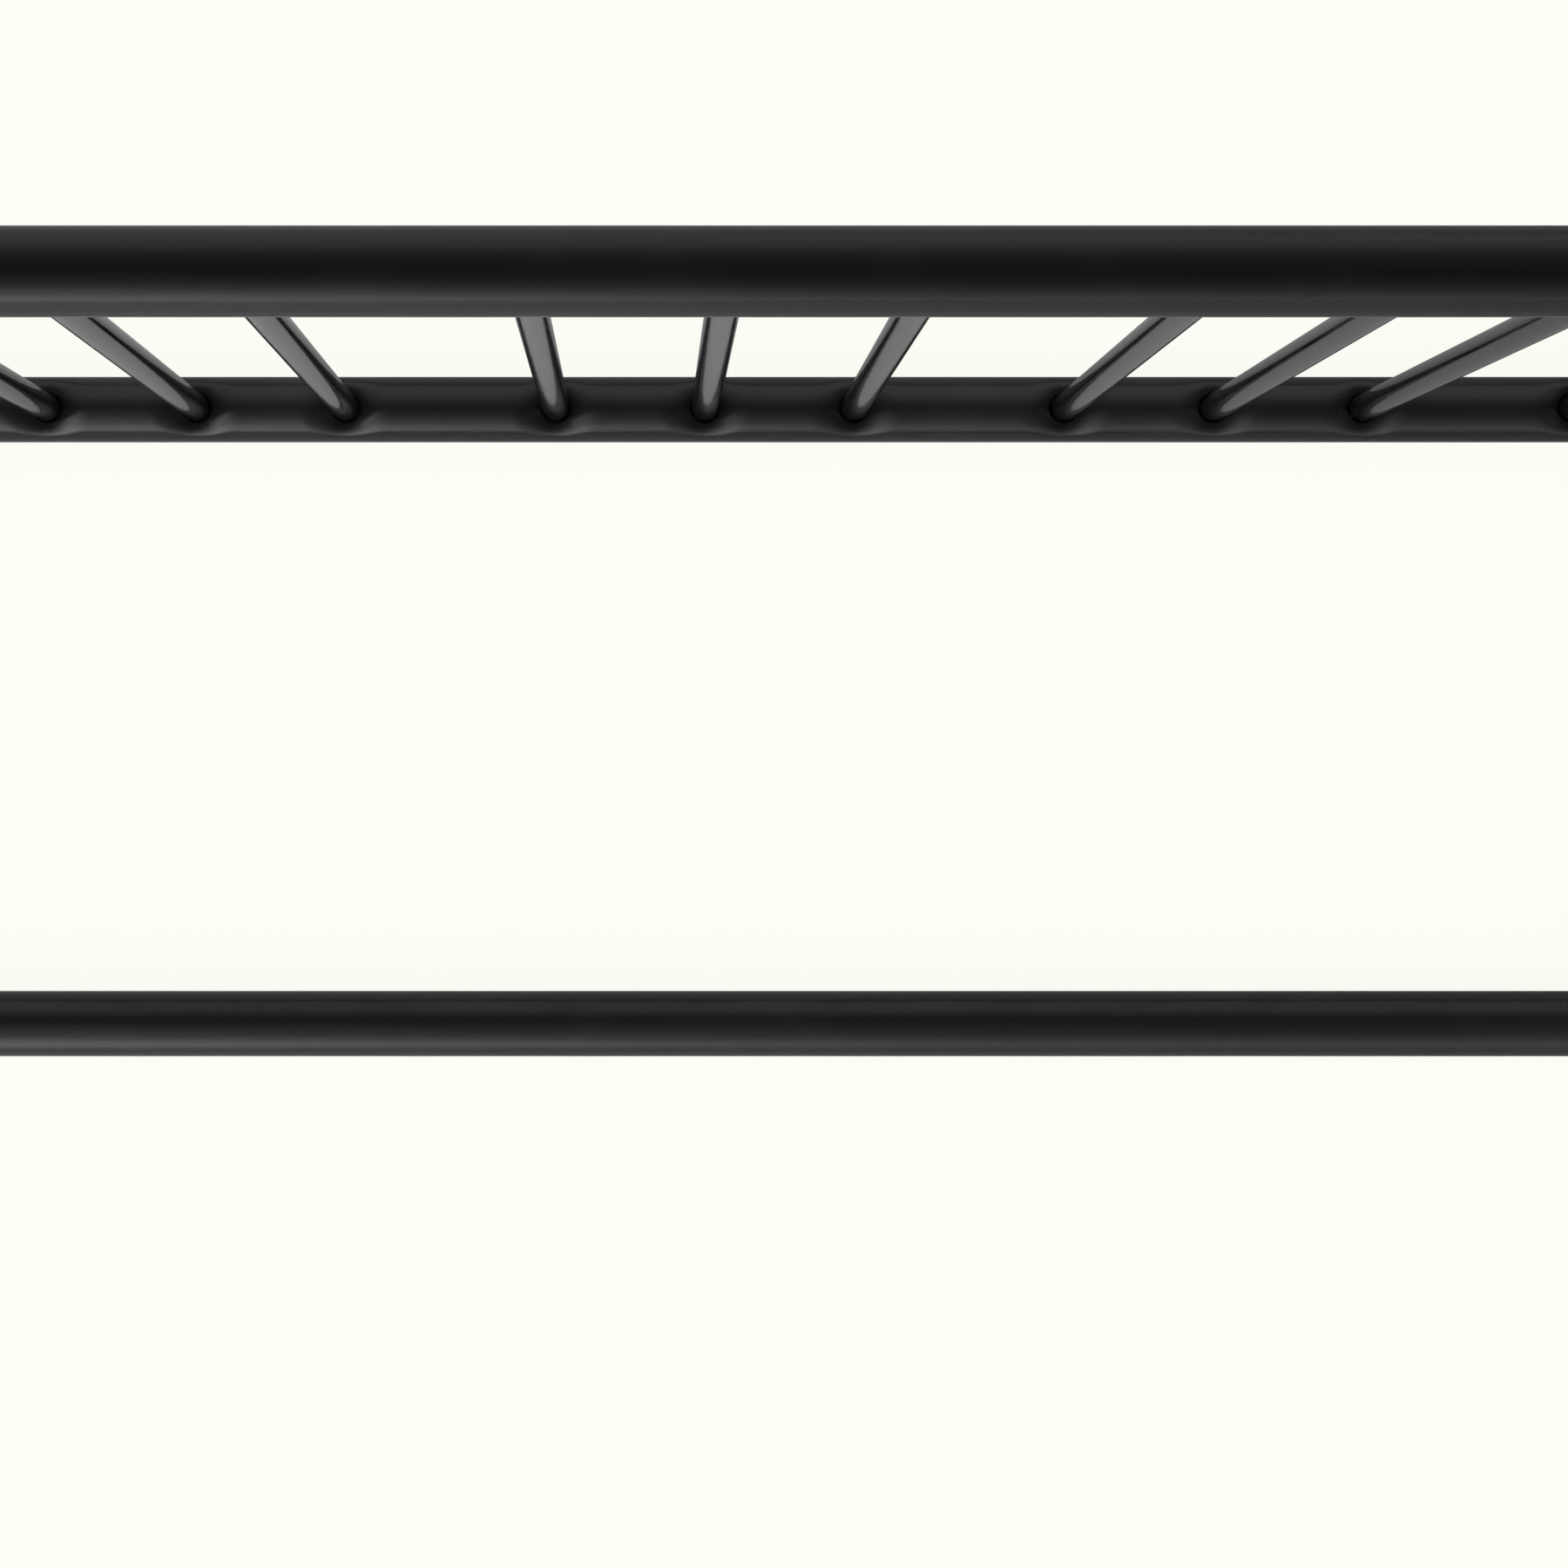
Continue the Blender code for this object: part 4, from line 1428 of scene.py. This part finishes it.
@dataclass(frozen=True)
class Studio:
    """Pale floor and soft light, with a dark card overhead that only gloss shows.

    Attributes:
        backdrop: Colour of the floor and the background in the picture.
        shaded: Share of the floor's brightness that the object's shadow can take away.
        floor_painted_light_levels, floor_painted_light_gains: Painted light and shade on the
        floor, as rays other than the camera's see it: a level after the place across the rack,
        times a gain after the place along it, so that the floor is lighter toward the front and
        the left and darker near and behind the rack.
        floor_ior, floor_roughness: Its gloss to those rays.
        floor_half: Half the floor's side.
        sun_power, sun_spread: The lamp.
        far_tilts, near_tilts: Brightness of the light from the far side and from the near
            side, after its angle from straight up in degrees.
        side_blend: Slope across the rack over which the two sides' light is blended.
        card_z, card_half: Height of the card, and half its side.
        card_across, card_along: How much light the card lets through, after the place across
            the rack and after the place along it. The greater of the two counts, and the
            second only on the near side.
        card_near: Places across the rack where the near side of the card begins and is whole.
        near_gains: Strength of the light from the near side, after its direction along X.
    """

    backdrop: Colour = (1.0, 0.991, 0.930)
    shaded: float = 0.08
    # Painted light and shade on the floor, seen only by rays other than the camera's.
    floor_painted_light_levels: tuple[tuple[float, float], ...] = (
        (-3.0, 0.62), (-1.6, 0.60), (-0.9, 0.46), (-0.45, 0.38), (0.0, 0.38), (0.6, 0.33),
        (3.0, 0.38),
    )
    floor_painted_light_gains: tuple[tuple[float, float], ...] = (
        (-0.9, 1.10), (-0.3, 1.10), (-0.1, 1.0), (0.1, 0.93), (0.28, 0.85), (0.45, 0.75),
        (0.9, 0.66),
    )
    floor_ior: float = 1.5
    floor_roughness: float = 0.45
    floor_half: float = 40.0
    sun_power: float = 0.15
    sun_spread: float = math.radians(75)
    far_tilts: tuple[tuple[float, float], ...] = (
        (0, 0.80), (50, 0.80), (60, 0.74), (75, 0.64), (90, 0.58),
    )
    near_tilts: tuple[tuple[float, float], ...] = (
        (0, 0.78), (30, 0.78), (40, 0.92), (52, 1.28), (65, 1.72), (75, 1.74), (80, 1.66),
        (84, 1.45), (89, 0.95), (90, 0.9),
    )
    side_blend: float = 0.5
    card_z: float = 1.50
    card_half: float = 6.0
    card_across: tuple[tuple[float, float], ...] = (
        (-6.0, 1.0), (-4.5, 0.95), (-3.1, 0.80), (-1.75, 0.56), (-1.23, 0.49), (-0.87, 0.36),
        (-0.56, 0.23), (-0.43, 0.16), (-0.17, 0.06), (0.0, 0.03), (0.17, 0.08), (0.43, 0.15),
        (0.69, 0.28), (1.35, 0.68), (2.1, 0.82), (4.5, 0.90), (6.0, 1.0),
    )
    card_along: tuple[tuple[float, float], ...] = (
        (-1.9, 1.0), (-0.9, 0.0), (1.1, 0.0), (2.5, 0.4),
    )
    card_near: tuple[float, float] = (0.0, -0.3)
    near_gains: tuple[tuple[float, float], ...] = (
        (-1.0, 1.8), (-0.6, 2.3), (-0.45, 2.5), (-0.25, 1.65), (-0.1, 1.22), (-0.03, 0.95),
        (0.02, 0.64), (0.12, 0.50), (1.0, 0.42),
    )

    @staticmethod
    def curve(graph: NodeGraph, value: Socket, stops: Sequence[tuple[float, float]]) -> Socket:
        """Brightness that goes in straight lines from stop to stop of a value."""
        low, high = stops[0][0], stops[-1][0]
        share = graph.remap(value, (low, high), (0.0, 1.0))
        ramp = graph.add("ValToRGB", {"Fac": share})
        elements = ramp.node.color_ramp.elements
        for _ in stops[2:]:
            elements.new(0.5)
        for element, (place, level) in zip(elements, stops):
            element.position = (place - low) / (high - low)
            element.color = (level, level, level, 1)
        return ramp

    def floor_shader(self, graph: NodeGraph) -> Socket:
        """Floor that the camera sees almost at its full brightness."""
        place = graph.add("SeparateXYZ", {0: graph.add("TexCoord", output="Object")})
        along, across = (place.node.outputs[axis] for axis in "XY")
        # Painted light and shade: to other rays, the floor's colour is lighter toward the front and
        # the left and darker near the rack, as the studio's light would fall on it.
        painted_floor_light = graph.math(
            "MULTIPLY",
            self.curve(graph, across, self.floor_painted_light_levels),
            self.curve(graph, along, self.floor_painted_light_gains),
        )
        unlit = tuple(part * (1 - self.shaded) for part in self.backdrop)
        lit = tuple(part * self.shaded for part in self.backdrop)
        seen = graph.add("AddShader", {
            0: graph.add("Emission", {"Color": (*unlit, 1)}),
            1: graph.add("BsdfDiffuse", {"Color": (*lit, 1)}),
        })
        camera = graph.add("LightPath", output="Is Camera Ray")
        other = graph.add("MixShader", {
            0: graph.add("Fresnel", {"IOR": self.floor_ior}),
            1: graph.add("BsdfDiffuse", {"Color": painted_floor_light}),
            2: graph.add("BsdfGlossy", {"Roughness": self.floor_roughness}),
        })
        return graph.add("MixShader", {0: camera, 1: other, 2: seen})

    def sheet(
        self, name: str, half: float, z: float, shade: Callable[[NodeGraph], Socket]
    ) -> bpy.types.Object:
        """Level square round the middle of the scene, marked as no part of the rack."""
        mesh = bpy.data.meshes.new(name)
        corners = [(-half, -half, z), (half, -half, z), (half, half, z), (-half, half, z)]
        mesh.from_pydata(corners, [], [(0, 1, 2, 3)])
        mesh.materials.append(shaded_material(name, shade))
        sheet = bpy.data.objects.new(name, mesh)
        bpy.context.scene.collection.objects.link(sheet)
        return sheet

    def card_shader(self, graph: NodeGraph) -> Socket:
        """Clear film that dims what is seen through it, most over the rack's middle."""
        place = graph.add("SeparateXYZ", {0: graph.add("TexCoord", output="Object")})
        along, across = (place.node.outputs[axis] for axis in "XY")
        near = graph.remap(across, self.card_near, (0.0, 1.0))
        clear = graph.math(
            "MAXIMUM",
            self.curve(graph, across, self.card_across),
            graph.math("MULTIPLY", near, self.curve(graph, along, self.card_along)),
        )
        return graph.add("BsdfTransparent", {"Color": clear})

    def card(self) -> None:
        """Hang the card, which only reflections show."""
        card = self.sheet("overhead_card", self.card_half, self.card_z, self.card_shader)
        card.visible_camera = False
        card.visible_diffuse = False
        card.visible_transmission = False
        card.visible_shadow = False

    def world(self) -> None:
        """Light from all round: even for the camera, and graded for what it lights."""
        world = bpy.data.worlds.new("studio")
        world.cycles.sampling_method = "NONE"
        world.use_nodes = True
        bpy.context.scene.world = world
        graph = NodeGraph(world.node_tree)
        direction = graph.add("SeparateXYZ", {0: graph.add("TexCoord", output="Generated")})
        along, across, up = (direction.node.outputs[axis] for axis in "XYZ")
        tilt = graph.math("ARCCOSINE", up)
        level = graph.math("MAXIMUM", graph.math("SINE", tilt), 0.01)
        slope = graph.math("DIVIDE", across, level)
        share = graph.remap(slope, (-self.side_blend, self.side_blend), (0.0, 1.0))
        tilt = graph.math("DEGREES", tilt)
        light = graph.add("MixRGB", {
            "Fac": share,
            "Color1": self.curve(graph, tilt, self.near_tilts),
            "Color2": self.curve(graph, tilt, self.far_tilts),
        })
        near_gain = self.curve(graph, along, self.near_gains)
        gain = graph.math("ADD", share, graph.math(
            "MULTIPLY", near_gain, graph.math("SUBTRACT", 1.0, share)
        ))
        graph.finish("OutputWorld", graph.add("MixShader", {
            0: graph.add("LightPath", output="Is Camera Ray"),
            1: graph.add("Background", {"Color": light, "Strength": gain}),
            2: graph.add("Background", {"Color": (*self.backdrop, 1)}),
        }))

    def sun(self) -> None:
        """Hang the wide lamp straight overhead, unseen in reflections."""
        light = bpy.data.lights.new("soft_top_light", "SUN")
        light.energy = self.sun_power
        light.angle = self.sun_spread
        lamp = bpy.data.objects.new("soft_top_light", light)
        lamp.visible_glossy = False
        bpy.context.scene.collection.objects.link(lamp)

    def build(self) -> None:
        """Set the stage."""
        self.sheet("pale_floor", self.floor_half, 0.0, self.floor_shader)
        self.card()
        self.world()
        self.sun()
        bpy.context.scene.view_settings.view_transform = "Standard"
        LOG.info("studio: floor, card, world and lamp")


@dataclass(frozen=True)
class OverheadCamera:
    """Camera that looks straight down on the rack.

    Attributes:
        place: Where it is.
        lens, sensor: Focal length and sensor width, in millimetres.
        shift_x, shift_y: Lens shift, in shares of the sensor's width.
        clip_end: How far it sees.
    """

    place: Place = (-0.036, -0.201, 2.370)
    lens: float = 92.56
    sensor: float = 36.0
    shift_x: float = 0.09
    shift_y: float = -0.0189
    clip_end: float = 200.0

    def build(self) -> None:
        """Make it the scene's camera."""
        data = bpy.data.cameras.new("overhead_camera")
        data.sensor_width = self.sensor
        for setting in ("lens", "shift_x", "shift_y", "clip_end"):
            setattr(data, setting, getattr(self, setting))
        camera = bpy.data.objects.new("overhead_camera", data)
        camera.location = self.place
        bpy.context.scene.collection.objects.link(camera)
        bpy.context.scene.camera = camera
        LOG.info("camera: %.2f m above the floor", self.place[2])


def main() -> None:
    """Load the frame and build the rack's finished look round it."""
    logging.basicConfig(level=logging.INFO, format="%(name)s: %(message)s")
    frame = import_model()
    layout = Layout.from_frame(frame["nodes"])
    line = FrameLine(layout)
    PunchedRail("top_rail", line, layout.top_z, Face.UNDERSIDE, seed=21).build()
    PunchedRail("grid_rail", line, layout.floor_z, Face.TOP, seed=22).build()
    PlainRail("front_floor_rail", line, End.FRONT, seed=23).build()
    PlainRail("rear_floor_rail", line, End.REAR, seed=24).build()
    BarRow(layout).build()
    for side, seed in ((Side.LEFT, 39), (Side.RIGHT, 41)):
        EndFrame(side, line, seed).build(frame["nodes"])
    Studio().build()
    OverheadCamera().build()


if __name__ == "__main__":
    main()
